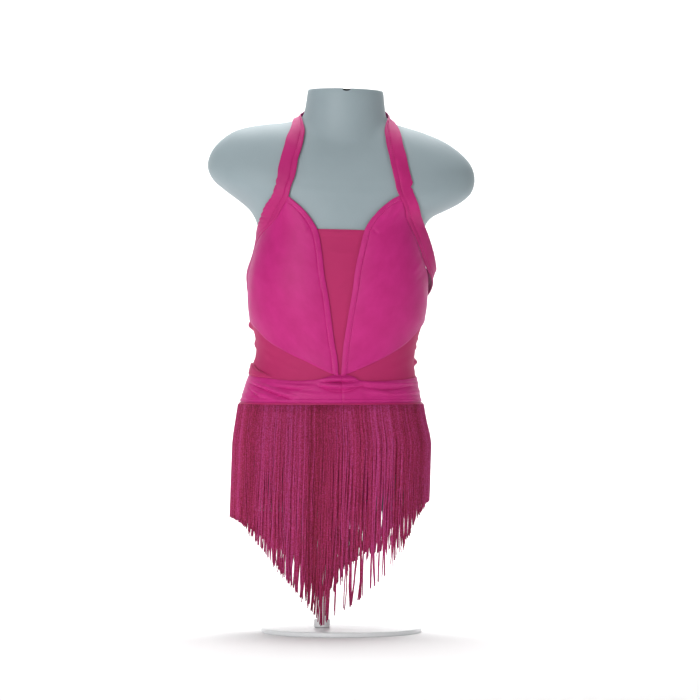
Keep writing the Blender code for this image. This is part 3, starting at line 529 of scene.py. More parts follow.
def knit_finish(name, deep, bright):
    """A fine knit: columns of loops with soft cloudy shade variation, as stretched cloth has."""
    material, tree, shader = new_finish(name, bright, 0.50, sheen=0.07)
    shader.inputs["Sheen Tint"].default_value = (0.75, 0.45, 1.0, 1.0)
    shader.inputs["Specular IOR Level"].default_value = 0.22
    cloud = add_node(tree, "ShaderNodeTexNoise", [(scaled_uv(tree, (1, 1, 1)), "Vector", "Vector")],
                     Scale=38.0, Detail=4.0, Roughness=0.6)
    tone = add_node(tree, "ShaderNodeMapRange", [(cloud, "Fac", "Value")])
    tone.inputs["From Min"].default_value = 0.3
    tone.inputs["From Max"].default_value = 0.7
    mix = two_tone(tree, tone, "Result", deep, bright)
    tree.links.new(mix.outputs["Result"], shader.inputs["Base Color"])
    loops = add_node(tree, "ShaderNodeTexVoronoi",
                     [(scaled_uv(tree, (WALES_PER_METRE, WALES_PER_METRE * 0.8, 1)), "Vector", "Vector")],
                     Scale=1.0, Randomness=0.12)
    bump(tree, shader, loops, "Distance", 0.22, 0.0003)
    return material


stretch_knit = knit_finish("stretch_knit", STRETCH_DEEP, STRETCH_BRIGHT)
band_knit = knit_finish("band_knit", (0.42, 0.012, 0.140), (0.50, 0.018, 0.175))
print("stretch knit ready")

# %% Mesh cloth
MESH_YARN = (0.46, 0.021, 0.125)
MESH_HOLE = (0.32, 0.036, 0.100)
HOLES_PER_METRE = 900.0


def mesh_finish(name, yarn, hole):
    """A power mesh: rows of tiny holes that show the pale form behind as a duller red."""
    material, tree, shader = new_finish(name, yarn, 0.66, sheen=0.04)
    shader.inputs["Sheen Tint"].default_value = (1.0, 0.5, 0.7, 1.0)
    shader.inputs["Specular IOR Level"].default_value = 0.2
    cells = add_node(tree, "ShaderNodeTexVoronoi",
                     [(scaled_uv(tree, (HOLES_PER_METRE, HOLES_PER_METRE * 0.85, 1)), "Vector", "Vector")],
                     Scale=1.0, Randomness=0.0)
    open_part = add_node(tree, "ShaderNodeMapRange", [(cells, "Distance", "Value")])
    open_part.inputs["From Min"].default_value = 0.40
    open_part.inputs["From Max"].default_value = 0.22
    cloud = add_node(tree, "ShaderNodeTexNoise", [(scaled_uv(tree, (1, 1, 1)), "Vector", "Vector")],
                     Scale=26.0, Detail=3.0)
    shade = add_node(tree, "ShaderNodeMath", [(cloud, "Fac", 0)], operation="MULTIPLY_ADD")
    shade.inputs[1].default_value = 0.5
    shade.inputs[2].default_value = 0.12
    hole_here = add_node(tree, "ShaderNodeMath", [(open_part, "Result", 0), (shade, "Value", 1)],
                         operation="MULTIPLY")
    mix = two_tone(tree, hole_here, "Value", yarn, hole)
    tree.links.new(mix.outputs["Result"], shader.inputs["Base Color"])
    bump(tree, shader, cells, "Distance", 0.3, 0.0003)
    return material


power_mesh = mesh_finish("power_mesh", MESH_YARN, MESH_HOLE)
print("mesh ready")

# %% Chainette yarn
YARN_TONES = [(0.0, (0.22, 0.012, 0.040)), (0.5, (0.39, 0.024, 0.108)), (1.0, (0.50, 0.055, 0.230))]


def yarn_finish(name):
    """Twisted yarn: each strand has its own tone, darkened by painted shade on the under row and the back
    half, and a tight ribbing along it.
    """
    material, tree, shader = new_finish(name, YARN_TONES[1][1], 0.6, sheen=0.06)
    shader.inputs["Sheen Tint"].default_value = (1.0, 0.6, 0.75, 1.0)
    shader.inputs["Specular IOR Level"].default_value = 0.2
    tone = add_node(tree, "ShaderNodeAttribute", attribute_name="yarn_tone_and_shade")
    place = add_node(tree, "ShaderNodeTexCoord")
    fleck = add_node(tree, "ShaderNodeTexNoise", [(place, "Object", "Vector")], Scale=620.0, Detail=2.0)
    mixed = add_node(tree, "ShaderNodeMath", [(fleck, "Fac", 0)], operation="MULTIPLY_ADD")
    mixed.inputs[1].default_value = 2.2
    mixed.inputs[2].default_value = -1.1
    toned = add_node(tree, "ShaderNodeMath", [(tone, "Fac", 0), (mixed, "Value", 1)], operation="ADD")
    ramp = add_node(tree, "ShaderNodeValToRGB", [(toned, "Value", "Fac")])
    ramp.color_ramp.elements.new(0.5)
    for element, (place, colour) in zip(ramp.color_ramp.elements, YARN_TONES):
        element.position, element.color = place, (*colour, 1.0)
    tree.links.new(ramp.outputs["Color"], shader.inputs["Base Color"])
    along = add_node(tree, "ShaderNodeAttribute", attribute_name="yarn_along")
    ribs = add_node(tree, "ShaderNodeMath", [(along, "Fac", 0)], operation="MULTIPLY")
    ribs.inputs[1].default_value = 2 * math.pi / 0.0016
    wave = add_node(tree, "ShaderNodeMath", [(ribs, "Value", 0)], operation="SINE")
    bump(tree, shader, wave, "Value", 0.35, 0.0002)
    return material


chainette_yarn = yarn_finish("chainette_yarn")
print("yarn ready")

# %% Form, stand and thread


def speckled_finish(name, dark, light, roughness, grain, coat=0.0):
    """A moulded or sprayed surface with a faint mottling and orange peel."""
    material, tree, shader = new_finish(name, light, roughness, coat=coat)
    shader.inputs["Specular IOR Level"].default_value = 0.3
    place = add_node(tree, "ShaderNodeTexCoord")
    mottle = add_node(tree, "ShaderNodeTexNoise", [(place, "Object", "Vector")], Scale=14.0, Detail=5.0)
    mix = two_tone(tree, mottle, "Fac", dark, light)
    tree.links.new(mix.outputs["Result"], shader.inputs["Base Color"])
    peel = add_node(tree, "ShaderNodeTexNoise", [(place, "Object", "Vector")], Scale=grain, Detail=2.0)
    bump(tree, shader, peel, "Fac", 0.12, 0.0004)
    return material


form_plastic = speckled_finish("form_plastic", (0.27, 0.335, 0.362), (0.335, 0.405, 0.432), 0.5, 420.0)
stand_paint = speckled_finish("stand_paint", (0.72, 0.73, 0.74), (0.80, 0.81, 0.82), 0.32, 900.0, coat=0.2)
# Painted shade: a near-black surface for the slot's walls, standing in for the shade inside the hollow form.
slot_painted_shade = speckled_finish("slot_painted_shade", (0.012, 0.014, 0.015), (0.02, 0.023, 0.025), 0.7, 300.0)
pink_thread, _, _ = new_finish("pink_thread", (0.60, 0.045, 0.235), 0.5, sheen=0.3)

# %% [markdown]
# The sweep's paper can be seen through from behind, so that a camera behind it still sees the leotard.

# %% Sweep paper
sweep_paper, paper_tree, paper = new_finish("sweep_paper", (0.93, 0.93, 0.93), 0.9)
sweep.data.materials.append(sweep_paper)
facing = add_node(paper_tree, "ShaderNodeNewGeometry")
clear = add_node(paper_tree, "ShaderNodeBsdfTransparent")
sheet_side = add_node(paper_tree, "ShaderNodeMixShader",
                      [(facing, "Backfacing", 0), (paper, 0, 1), (clear, 0, 2)])
paper_tree.links.new(sheet_side.outputs[0], paper_tree.nodes["Material Output"].inputs["Surface"])
print("finishes:", len(bpy.data.materials))

# %% [markdown]
# ## The dress form
# The form is one smooth hollow moulding, closed at the neck and cut flat under the hips. It starts as a tall
# cylinder whose side is subdivided into rings. Each ring is then moved onto the section of its level.

# %% Form
FORM_TURNS = 128
RINGS_PER_ROW = 5

bpy.ops.mesh.primitive_cylinder_add(vertices=FORM_TURNS, radius=1.0, depth=2.0)
form = bpy.context.object
form.name = form.data.name = "form_body"
bpy.ops.object.mode_set(mode="EDIT")
bpy.ops.mesh.select_mode(type="EDGE")
bpy.ops.mesh.select_all(action="DESELECT")
bpy.ops.object.mode_set(mode="OBJECT")
for edge in form.data.edges:
    low, high = (form.data.vertices[i].co.z for i in edge.vertices)
    edge.select = abs(high - low) > 1.0
bpy.ops.object.mode_set(mode="EDIT")
bpy.ops.mesh.subdivide(number_cuts=LAST * RINGS_PER_ROW - 1, smoothness=0.0)
bpy.ops.object.mode_set(mode="OBJECT")
spots = np.empty(len(form.data.vertices) * 3)
form.data.vertices.foreach_get("co", spots)
spots = spots.reshape(-1, 3)
form_angle = np.degrees(np.arctan2(spots[:, 0], -spots[:, 1]))
form_level = (1.0 - spots[:, 2]) / 2.0 * LAST
form.data.vertices.foreach_set("co", (skin(form_angle, form_level) * MM).ravel())
form.data.update()
print("form faces:", len(form.data.polygons))

# %% [markdown]
# A small slot in the neck's front rim takes a hanging hook. A cutter, which is a squashed cylinder, is taken
# out of the form with a Boolean, and the inside of the slot is painted near black as painted shade, for the
# dark hollow inside the form.

# %% Hook slot
bpy.ops.mesh.primitive_cylinder_add(vertices=32, radius=1.0, depth=1.0, location=(0.0068, -0.040, 0.6758),
                                    rotation=(math.pi / 2, 0, 0))
cutter = bpy.context.object
cutter.name = "slot_cutter"
cutter.scale = (0.0050, 0.0022, 0.012)
finish_origin(cutter)
form.data.materials.append(form_plastic)
cutter.data.materials.append(slot_painted_shade)
cut = form.modifiers.new("slot", "BOOLEAN")
cut.operation = "DIFFERENCE"
cut.object = cutter
cut.material_mode = "TRANSFER"
select_only(form)
bpy.ops.object.modifier_apply(modifier="slot")
bpy.data.objects.remove(cutter)
bpy.ops.object.shade_smooth_by_angle(angle=math.radians(50))
wear(form, "dress_form")
print("form with slot:", len(form.data.polygons), [m.name for m in form.data.materials])

# %% [markdown]
# ## The stand
# The round base and its post keep their CAD solids' sizes. The base is a disc of many sides with rolled
# edges, and the post's collar is beveled, so that both look turned and sprayed.

# %% Base
base_low, base_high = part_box("stand_base")
base_height = base_high[2] - base_low[2]
bpy.ops.mesh.primitive_cylinder_add(vertices=128, radius=(base_high[0] - base_low[0]) / 2, depth=base_height,
                                    location=(0, 0, base_height / 2))
base = bpy.context.object
base.name = base.data.name = "base_plate"
finish_origin(base)
edge_roll = base.modifiers.new("roll", "BEVEL")
edge_roll.width = 0.0018
edge_roll.segments = 5
edge_roll.limit_method = "ANGLE"
bpy.ops.object.modifier_apply(modifier="roll")
bpy.ops.object.shade_smooth_by_angle(angle=math.radians(40))
base.data.materials.append(stand_paint)
wear(base, "stand_base")
print("base:", [round(v, 4) for v in base.dimensions])

# %% Post
post_low, post_high = (np.array(corner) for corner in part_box("stand_post"))
post_x, post_y = (post_low[:2] + post_high[:2]) / 2
collar_height = 0.010
bpy.ops.mesh.primitive_cylinder_add(vertices=48, radius=0.010, depth=collar_height,
                                    location=(post_x, post_y, post_low[2] + collar_height / 2))
post = bpy.context.object
post.name = post.data.name = "post_tube"
finish_origin(post)
bpy.ops.object.mode_set(mode="EDIT")
bpy.ops.mesh.select_mode(type="FACE")
bpy.ops.mesh.select_all(action="DESELECT")
bpy.ops.object.mode_set(mode="OBJECT")
for face in post.data.polygons:
    face.select = face.normal.z > 0.9
bpy.ops.object.mode_set(mode="EDIT")
bpy.ops.mesh.inset(thickness=0.004)
rise = post_high[2] - post_low[2] - collar_height
bpy.ops.mesh.extrude_region_move(TRANSFORM_OT_translate={"value": (0, 0, rise)})
bpy.ops.object.mode_set(mode="OBJECT")
collar_roll = post.modifiers.new("roll", "BEVEL")
collar_roll.width = 0.0012
collar_roll.segments = 4
collar_roll.limit_method = "ANGLE"
bpy.ops.object.modifier_apply(modifier="roll")
bpy.ops.object.shade_smooth_by_angle(angle=math.radians(40))
post.data.materials.append(stand_paint)
wear(post, "stand_post")
print("post:", [round(v, 4) for v in post.dimensions])

# %% [markdown]
# ## The halter band
# One folded band of the stretch cloth runs from the nape over each side of the chest, along the armhole and
# round to the back. Elastic inside it draws the armhole's edge into small gathers, and on the right it stands
# loose from the body. The band is worked out first, because the cups' armholes follow its edge.

# %% Band stations
NeckStation = namedtuple("NeckStation", "angle upper_z lower_angle lower_z lift")
BAND_NECK = [
    NeckStation(179.7, 665.5, 179.7, 646.5, 1.6),
    NeckStation(158.0, 665.0, 158.0, 646.0, 1.6),
    NeckStation(136.0, 660.0, 137.0, 643.5, 1.7),
    NeckStation(114.0, 652.5, 117.0, 643.0, 1.9),
    NeckStation(99.0, 647.0, 103.0, 641.0, 2.1),
]
FrontStation = namedtuple("FrontStation", "inner_x inner_z outer_x outer_z lift outer_lift")
BAND_FRONT = {
    "left": [
        FrontStation(-48.8, 629.5, -63.5, 632.0, 2.0, 2.0),
        FrontStation(-48.8, 613.0, -70.0, 614.0, 2.1, 2.1),
        FrontStation(-52.0, 597.0, -74.2, 596.0, 2.1, 2.1),
        FrontStation(-55.8, 580.0, -78.6, 578.0, 2.1, 2.1),
        FrontStation(-60.0, 562.0, -80.6, 561.0, 2.1, 2.1),
        FrontStation(-66.0, 543.2, -86.0, 544.5, 2.1, 2.1),
        FrontStation(-75.5, 526.0, -96.5, 529.0, 2.1, 2.1),
        FrontStation(-87.5, 508.5, -102.7, 512.0, 2.1, 2.1),
    ],
    "right": [
        FrontStation(57.2, 628.5, 71.5, 630.0, 2.0, 2.0),
        FrontStation(57.7, 611.5, 77.5, 611.5, 2.1, 2.1),
        FrontStation(60.7, 595.0, 81.3, 595.0, 2.1, 2.1),
        FrontStation(64.0, 578.0, 84.8, 577.0, 2.1, 2.1),
        FrontStation(67.8, 561.0, 88.2, 560.5, 2.1, 2.1),
        FrontStation(73.0, 543.5, 90.6, 545.5, 2.1, 2.1),
        FrontStation(81.0, 524.5, 97.5, 529.5, 2.1, 3.2),
        FrontStation(87.0, 505.0, 101.0, 512.0, 2.1, 5.0),
    ],
}
SideStation = namedtuple("SideStation", "inner_angle inner_z outer_angle outer_z lift outer_lift")
BAND_SIDE = {
    "left": [
        SideStation(80.5, 483.0, 95.0, 489.0, 2.3, 3.0),
        SideStation(86.5, 460.0, 99.5, 468.5, 2.6, 5.5),
        SideStation(89.4, 440.0, 104.0, 450.0, 3.4, 8.8),
        SideStation(97.0, 426.0, 112.0, 437.5, 3.6, 8.0),
        SideStation(110.0, 414.5, 124.0, 430.5, 2.9, 4.2),
        SideStation(128.0, 406.5, 137.0, 425.0, 2.5, 2.7),
        SideStation(150.0, 403.0, 154.0, 422.5, 2.5, 2.5),
        SideStation(179.7, 402.0, 179.7, 422.0, 2.5, 2.5),
    ],
    "right": [
        SideStation(63.0, 482.0, 76.0, 489.0, 2.4, 9.5),
        SideStation(74.0, 459.0, 84.5, 466.5, 3.2, 12.8),
        SideStation(84.5, 441.5, 94.5, 453.0, 8.4, 14.4),
        SideStation(96.0, 428.0, 104.5, 464.0, 8.0, 12.6),
        SideStation(110.0, 414.5, 121.0, 439.0, 3.2, 7.0),
        SideStation(128.0, 406.5, 137.0, 425.0, 2.5, 3.0),
        SideStation(150.0, 403.0, 154.0, 422.5, 2.5, 2.5),
        SideStation(179.7, 402.0, 179.7, 422.0, 2.5, 2.5),
    ],
}
SIGN = {"left": -1.0, "right": 1.0}


def band_stations(side):
    """Rows of number, the inner and the outer edge's chart positions, and their heights off the skin."""
    sign = SIGN[side]
    rows = []
    for r in BAND_NECK:
        inner, outer = at_angle(sign * r.angle, r.upper_z), at_angle(sign * r.lower_angle, r.lower_z)
        rows.append([*inner, *outer, r.lift, r.lift])
    for r in BAND_FRONT[side]:
        inner, outer = at_front(r.inner_x, r.inner_z), at_front(r.outer_x, r.outer_z)
        rows.append([*inner, *outer, r.lift, r.outer_lift])
    for r in BAND_SIDE[side]:
        inner = at_angle(sign * r.inner_angle, r.inner_z)
        outer = at_angle(sign * r.outer_angle, r.outer_z)
        rows.append([*inner, *outer, r.lift, r.outer_lift])
    return np.array([[number, *row] for number, row in enumerate(rows)])


def band_chart(stations, across):
    return stations[..., 1:3] + (stations[..., 3:5] - stations[..., 1:3]) * across


def band_lift(stations, across):
    return stations[..., 5] + (stations[..., 6] - stations[..., 5]) * across


def band_points(stations, across):
    return above_skin(band_chart(stations, across), band_lift(stations, across))


def evenly_along(stations, steps):
    dense = smooth_run(stations)
    run = travelled(band_points(dense, 0.5))
    wanted = even(steps) * run[-1]
    return np.stack([np.interp(wanted, run, dense[:, k]) for k in range(dense.shape[1])], axis=-1), run[-1]


# %% Band cloth
BAND_STEPS = 420
BAND_ACROSS = np.array([0.0, 0.02, 0.07, 0.14, 0.20, 0.255, 0.28, 0.305, 0.36, 0.46, 0.56, 0.66, 0.76, 0.85,
                        0.92, 0.97, 1.0])
STITCH_ACROSS = 0.28
GATHER_PITCH = 8.0


# Where the elastic draws the band in, as station numbers, and how strongly.
GATHER_RUNS = {
    "left": [(9.2, 12.4, 1.0), (12.4, 17.5, 0.35)],
    "right": [(9.2, 10.6, 0.55), (10.6, 17.0, 0.12)],
}


# Small bumps and notches of the band's arm-side edge: height, how far it moves out, and half width.
KINKS = {
    "left": [(562.5, 0.9, 2.2), (556.8, -1.2, 1.5)],
    "right": [(559.5, 1.3, 2.4), (553.4, -1.5, 1.6), (549.0, 0.6, 2.0)],
}


def gather_share(side, stations):
    """How much the band is gathered at each station. It fades out at the ends of its runs."""
    number = stations[:, 0]
    total = np.zeros(len(number))
    for start, end, strength in GATHER_RUNS[side]:
        total += strength * np.clip((number - start) / 0.4, 0, 1) * np.clip((end - number) / 0.5, 0, 1)
    return total


def band_cloth(side):
    stations, length = evenly_along(band_stations(side), BAND_STEPS)
    run = even(BAND_STEPS) * length
    phase = 2 * np.pi * run / GATHER_PITCH + 1.1 * np.sin(run / 17.0) + 0.7 * np.sin(run / 7.3 + 1.0)
    strength = gather_share(side, stations) * (0.75 + 0.35 * np.sin(run / 23.0 + 2.0))
    inner, outer = band_points(stations, 0.0), band_points(stations, 1.0)
    width = unit(outer - inner)
    lines = []
    for across in BAND_ACROSS:
        chart = band_chart(stations, across)
        ripple = 0.45 * strength * across**2.6 * (0.55 + 0.85 * np.sin(phase + 0.8 * across))
        groove = -0.45 * np.exp(-(((across - STITCH_ACROSS) / 0.03) ** 2))
        plump = 0.35 * np.sin(np.pi * across) ** 0.5 + 0.8 * np.exp(-(((across - 0.05) / 0.07) ** 2))
        soft = 0.25 * np.sin(run / 11.0 + 5 * across) * np.sin(run / 31.0)
        lift = band_lift(stations, across) + ripple + groove + plump + soft
        place = above_skin(chart, lift)
        kink = sum(move * np.exp(-(((outer[:, 2] - z) / half) ** 2)) for z, move, half in KINKS[side])
        sideways = 0.75 * strength * across**2.2 * np.sin(phase) + kink * across**3
        lines.append(place + width * sideways[:, None])
    cloth = lay_cloth(f"band_{side}", np.array(lines), 1.1, band_knit)
    wear(cloth, f"halter_band_{side}")
    return cloth, stations


bands = {side: band_cloth(side) for side in ("left", "right")}

# %% [markdown]
# ## The cups
# Each cup is one piece of the stretch cloth, rounded over the chest. Its neckline and its V edge are turned
# under about 7 mm and stitched, which shows as a raised flat hem with a thin groove. The columns of the grid
# crowd together at that edge, so that the hem has its own faces.

# %% Cup outlines
CUP_EDGES = {
    "left": {
        "bottom": [(-106.0, 380.0), (-92.0, 365.4), (-79.0, 356.6), (-62.0, 347.3), (-43.5, 338.8),
                   (-26.0, 330.0), (-3.5, 320.5)],
        "point_to_neckline": [(-3.5, 320.5), (-8.7, 361.0), (-15.0, 408.5), (-22.5, 454.0), (-30.5, 501.4)],
        "neckline": [(-30.5, 501.4), (-40.0, 517.0), (-48.0, 526.5), (-59.0, 536.5), (-65.5, 542.0)],
    },
    "right": {
        "bottom": [(96.4, 378.0), (83.5, 364.0), (68.0, 352.4), (52.0, 343.0), (36.0, 335.2), (15.0, 326.0),
                   (0.6, 320.5)],
        "point_to_neckline": [(0.6, 320.5), (3.5, 357.0), (9.0, 391.0), (15.5, 429.0), (21.5, 466.0),
                              (29.8, 499.6)],
        "neckline": [(29.8, 499.6), (36.5, 511.5), (44.0, 520.5), (54.0, 530.5), (64.0, 538.0),
                     (72.3, 542.3)],
    },
}
CUP_SIDE = [(90.8, 390.0), (91.0, 404.0), (90.6, 418.0)]
CUP_BAND_STATIONS = (10, 15)
CUP_ROUNDING = 5.5
SEAM_GAP = 0.35
HEM_WIDTH = 6.8


def front_points(points):
    points = np.array(points)
    return at_front(points[:, 0], points[:, 1])


def beside_band(side):
    """Chart positions just inside the band, upwards from where it leaves the cup, and the band's height."""
    first, last = CUP_BAND_STATIONS
    stations, _ = evenly_along(band_stations(side), 72)
    run = stations[(stations[:, 0] >= first) & (stations[:, 0] <= last)][::-1]
    width = np.linalg.norm(band_points(run, 1.0) - band_points(run, 0.0), axis=1)
    return band_chart(run, (-2 * SEAM_GAP / width)[:, None]), band_lift(run, 0.0)


def cup_chart(side, columns, rows):
    """The cup's grid. Its rows run from the side seam to the hem, where the columns crowd together."""
    lines = CUP_EDGES[side]
    shares = np.concatenate([np.linspace(0, 0.86, columns - 16, endpoint=False), np.linspace(0.86, 1.0, 17)])
    angles = np.array(CUP_SIDE)
    side_run = at_angle(SIGN[side] * angles[:, 0], angles[:, 1])
    armhole, _ = beside_band(side)
    outer = edge_of((np.concatenate([side_run, armhole[:1]]), rows // 6), (armhole, rows - rows // 6))
    neckline_rows = rows // 4
    inner = edge_of((front_points(lines["point_to_neckline"]), rows - neckline_rows),
                    (front_points(lines["neckline"]), neckline_rows))
    bottom = edge_of((np.concatenate([outer[:1], front_points(lines["bottom"])]), shares))
    top = edge_of((np.array([outer[-1], inner[-1]]), shares))
    return filled(bottom, top, outer, inner, shares), shares


# %% Cup cloth
CUP_CREASES = {
    "left": [
        Crease(-100.0, 470.0, -112.0, 392.0, 0.0, 0.7, 6.0),
        Crease(-52.0, 522.0, -36.0, 488.0, 0.0, 0.5, 4.0),
        Crease(-34.0, 506.0, -44.0, 496.0, 0.0, -0.8, 2.6),
        Crease(-104.0, 448.0, -70.0, 430.0, 3.0, 0.4, 6.0),
        Crease(-60.0, 372.0, -20.0, 344.0, -3.0, 0.35, 5.0),
    ],
    "right": [
        Crease(68.0, 537.0, 52.0, 512.0, 0.0, 0.9, 3.4),
        Crease(61.0, 536.0, 48.0, 518.0, 0.0, -0.7, 2.6),
        Crease(76.0, 528.0, 58.0, 505.0, 0.0, 0.6, 4.0),
        Crease(100.0, 470.0, 84.0, 447.0, 3.0, 1.0, 4.5),
        Crease(104.0, 456.0, 88.0, 436.0, 3.0, -0.9, 4.0),
        Crease(36.0, 504.0, 46.0, 494.0, 0.0, -0.8, 2.6),
        Crease(98.0, 430.0, 104.0, 398.0, 0.0, 0.5, 5.0),
    ],
}
HEM_PUCKER = {"left": 0.10, "right": 0.32}
HEM_RISE, PUCKER_PITCH = 0.85, 6.4
RISE_AT_BAND, REACH_OF_RISE = 1.8, 13.0


def lift_to_band(side, rows):
    """How far each row's outer end rises to meet the band that it is sewn to."""
    _, lift = beside_band(side)
    above = np.clip(lift - STRETCH_LIFT, 0.0, RISE_AT_BAND)
    low_rows = rows // 6
    under = above[0] * even(low_rows)[:-1] ** 3
    return np.concatenate([under, np.interp(even(rows - low_rows), even(len(above) - 1), above)])


def cup_cloth(side):
    chart, shares = cup_chart(side, 64, 132)
    rows = chart.shape[0] - 1
    across = shares[None, :]
    up = even(rows)[:, None]
    rounding = CUP_ROUNDING * np.sin(np.pi * across) * np.sin(np.pi * up**0.8)
    flat = above_skin(chart, np.full(chart.shape[:2], STRETCH_LIFT))
    run, along = grid_lengths(flat)
    from_hem = run[:, -1:] - run
    from_bottom = along
    from_side = run - run[:, :1]
    hem = HEM_RISE / (1 + np.exp((from_hem - HEM_WIDTH) / 0.35))
    uneven = 2 * np.pi * along / PUCKER_PITCH + 1.3 * np.sin(along / 14.0)
    dents = 1.0 + HEM_PUCKER[side] * 2.2 * np.sin(uneven)
    groove = -0.55 * np.exp(-(((from_hem - HEM_WIDTH - 0.4) / 0.8) ** 2)) * dents
    edge_fall = -0.5 * np.exp(-((from_hem / 0.7) ** 2))
    seam_pull = 0.35 * np.exp(-(((from_bottom - 2.2) / 1.2) ** 2)) - 0.5 * np.exp(-((from_bottom / 0.8) ** 2))
    side_pull = -1.0 * np.exp(-((from_side / 1.5) ** 2))
    height = rounding + hem + groove + edge_fall + seam_pull + side_pull
    height = height + crease_height(flat, CUP_CREASES[side])
    height = height + lift_to_band(side, rows)[:, None] * np.exp(-((from_side / REACH_OF_RISE) ** 2))
    places = above_skin(chart, STRETCH_LIFT + height)
    cloth = lay_cloth(f"cup_cloth_{side}", places, STRETCH_WALL, stretch_knit)
    wear(cloth, f"cup_{side}")
    return cloth, places, chart, height


cups = {side: cup_cloth(side) for side in ("left", "right")}

# %% [markdown]
# ## The mesh pieces
# The wedge in the V and the panels over the midriff are one layer of mesh, and they lie closest to the form.
# Their edges run a few millimetres under the cups and the brief. Beside the side seams the loose mesh stands
# up in a few uneven lumps, which show at the waist's outline. On the left a roll of it sags over the brief.

# %% Wedge in the V
UNDERLAP = 4.0
INSET_LOW_Z = 313.5


def moved_aside(points, distance):
    return [(x + distance, z) for x, z in points]


def wedge_cloth():
    left_line = [(-3.2, INSET_LOW_Z)] + CUP_EDGES["left"]["point_to_neckline"]
    right_line = [(0.4, INSET_LOW_Z)] + CUP_EDGES["right"]["point_to_neckline"]
    left = edge_of((front_points(moved_aside(left_line, -UNDERLAP)), 90))
    right = edge_of((front_points(moved_aside(right_line, UNDERLAP)), 90))
    bottom = edge_of((np.array([left[0], right[0]]), 24))
    top = edge_of((np.array([left[-1], right[-1]]), 24))
    chart = filled(bottom, top, left, right, even(24))
    flat = above_skin(chart, np.full(chart.shape[:2], MESH_LIFT))
    _, along = grid_lengths(flat)
    from_top = along[-1:] - along
    hem = 0.35 / (1 + np.exp((from_top - 7.0) / 0.4)) - 0.4 * np.exp(-((from_top / 0.8) ** 2))
    creases = crease_height(flat, [Crease(-22.0, 480.0, 18.0, 470.0, 3.0, 0.35, 5.0),
                                   Crease(-14.0, 420.0, 12.0, 440.0, 2.0, 0.30, 5.0),
                                   Crease(-8.0, 380.0, 8.0, 366.0, 2.0, 0.25, 4.0)])
    cloth = lay_cloth("wedge_mesh", above_skin(chart, MESH_LIFT + hem + creases), MESH_WALL, power_mesh)
    return wear(cloth, "neckline_inset")


wedge = wedge_cloth()

# %% Midriff panels
SIDE_ANGLE = 91.0
BRIEF_TOP = {
    "left": [(-100.0, 317.8), (-79.0, 314.9), (-56.0, 313.6), (-40.0, 314.6), (-22.0, 316.5), (-9.0, 320.5),
             (2.0, 321.5)],
    "right": [(80.7, 315.3), (68.0, 314.2), (54.0, 313.0), (28.0, 313.5), (13.0, 319.5), (2.0, 321.5)],
}
BRIEF_SIDE_TOP = {"left": 321.0, "right": 319.0}
BACK_TOP_Z = 326.0
MIDRIFF_TIPS = {"left": (-9.2, -7.2), "right": (5.9, 4.8)}
MIDRIFF_CREASES = [
    Crease(-104.0, 372.0, -66.0, 344.0, 4.0, 0.7, 6.0),
    Crease(-98.0, 352.0, -50.0, 326.0, 3.0, 0.6, 5.0),
    Crease(92.0, 366.0, 60.0, 340.0, 4.0, 0.6, 5.0),
    Crease(90.0, 346.0, 52.0, 326.0, 3.0, 0.6, 5.0),
    Crease(-52.0, 340.0, -26.0, 326.0, 1.0, -0.4, 4.0),
]
ROLL_TOP = [(-120.0, 342.5), (-109.0, 338.5), (-106.0, 332.5), (-102.0, 327.8), (-95.5, 324.0),
            (-88.0, 321.2), (-80.0, 318.5)]


def in_the_open(flat):
    """1 where a mesh piece shows, falling to 0 where it runs under other cloth."""
    _, along = grid_lengths(flat)
    from_low, from_high = along, along[-1:] - along
    return np.clip((from_low - UNDERLAP) / 1.6, 0, 1) * np.clip((from_high - UNDERLAP - 0.4) / 1.4, 0, 1)


def roll_height(places):
    """The roll of mesh that sags over the brief on the left, with a sharp crease along its top."""
    x, z = places[..., 0], places[..., 2]
    line = np.array(ROLL_TOP)
    below = np.interp(x, line[:, 0], line[:, 1]) - z
    fade = np.clip((-82.0 - x) / 16.0, 0.0, 1.0)
    roll = 4.6 * np.clip(below / 2.2, 0, 1) ** 0.6 * np.clip(1.0 - (below / 24.0) ** 2, 0, 1) ** 0.5
    above = 1.6 * np.clip(-below / 1.8, 0, 1) * np.exp(-((below / 9.0) ** 2))
    return fade * np.where(below > 0, roll, above)


def midriff_cloth(side):
    seam = SIGN[side] * SIDE_ANGLE
    top_x, low_x = MIDRIFF_TIPS[side]
    top_line = [(x, z + UNDERLAP) for x, z in CUP_EDGES[side]["bottom"] if abs(x) > 20.0]
    low_line = [(x, z - UNDERLAP) for x, z in BRIEF_TOP[side] if abs(x) > 20.0]
    side_top, side_low = at_angle(seam, 396.0), at_angle(seam, BRIEF_SIDE_TOP[side] - UNDERLAP)
    top = edge_of((np.concatenate([[side_top], front_points(top_line + [(top_x, 332.0)])]), 90))
    bottom = edge_of((np.concatenate([[side_low], front_points(low_line + [(low_x, 310.0)])]), 90))
    start = edge_of((np.array([bottom[0], top[0]]), 84))
    end = edge_of((np.array([bottom[-1], top[-1]]), 84))
    chart = filled(bottom, top, start, end, even(90))
    flat = above_skin(chart, np.full(chart.shape[:2], MESH_LIFT))
    height = bump_height(chart, flat) + crease_height(flat, MIDRIFF_CREASES)
    if side == "left":
        height = np.maximum(height, roll_height(flat))
    cloth = lay_cloth(f"midriff_mesh_{side}", above_skin(chart, MESH_LIFT + height * in_the_open(flat)),
                      MESH_WALL, power_mesh)
    return wear(cloth, f"waist_mesh_{side}")


midriff = {side: midriff_cloth(side) for side in ("left", "right")}

# %% Back panel
BACK_MESH_CREASES = [
    Crease(-96.0, 352.0, -30.0, 340.0, 3.0, 0.9, 7.0),
    Crease(92.0, 372.0, 20.0, 352.0, 4.0, 0.8, 7.0),
    Crease(-80.0, 384.0, -10.0, 372.0, 3.0, 0.6, 6.0),
    Crease(84.0, 344.0, 34.0, 336.0, 2.0, 0.7, 5.0),
]


def round_the_back(half):
    """Turns the right half of a line round the back, as angles and heights, into the whole of it."""
    return half + [(360.0 - angle, z) for angle, z in reversed(half[:-1])]


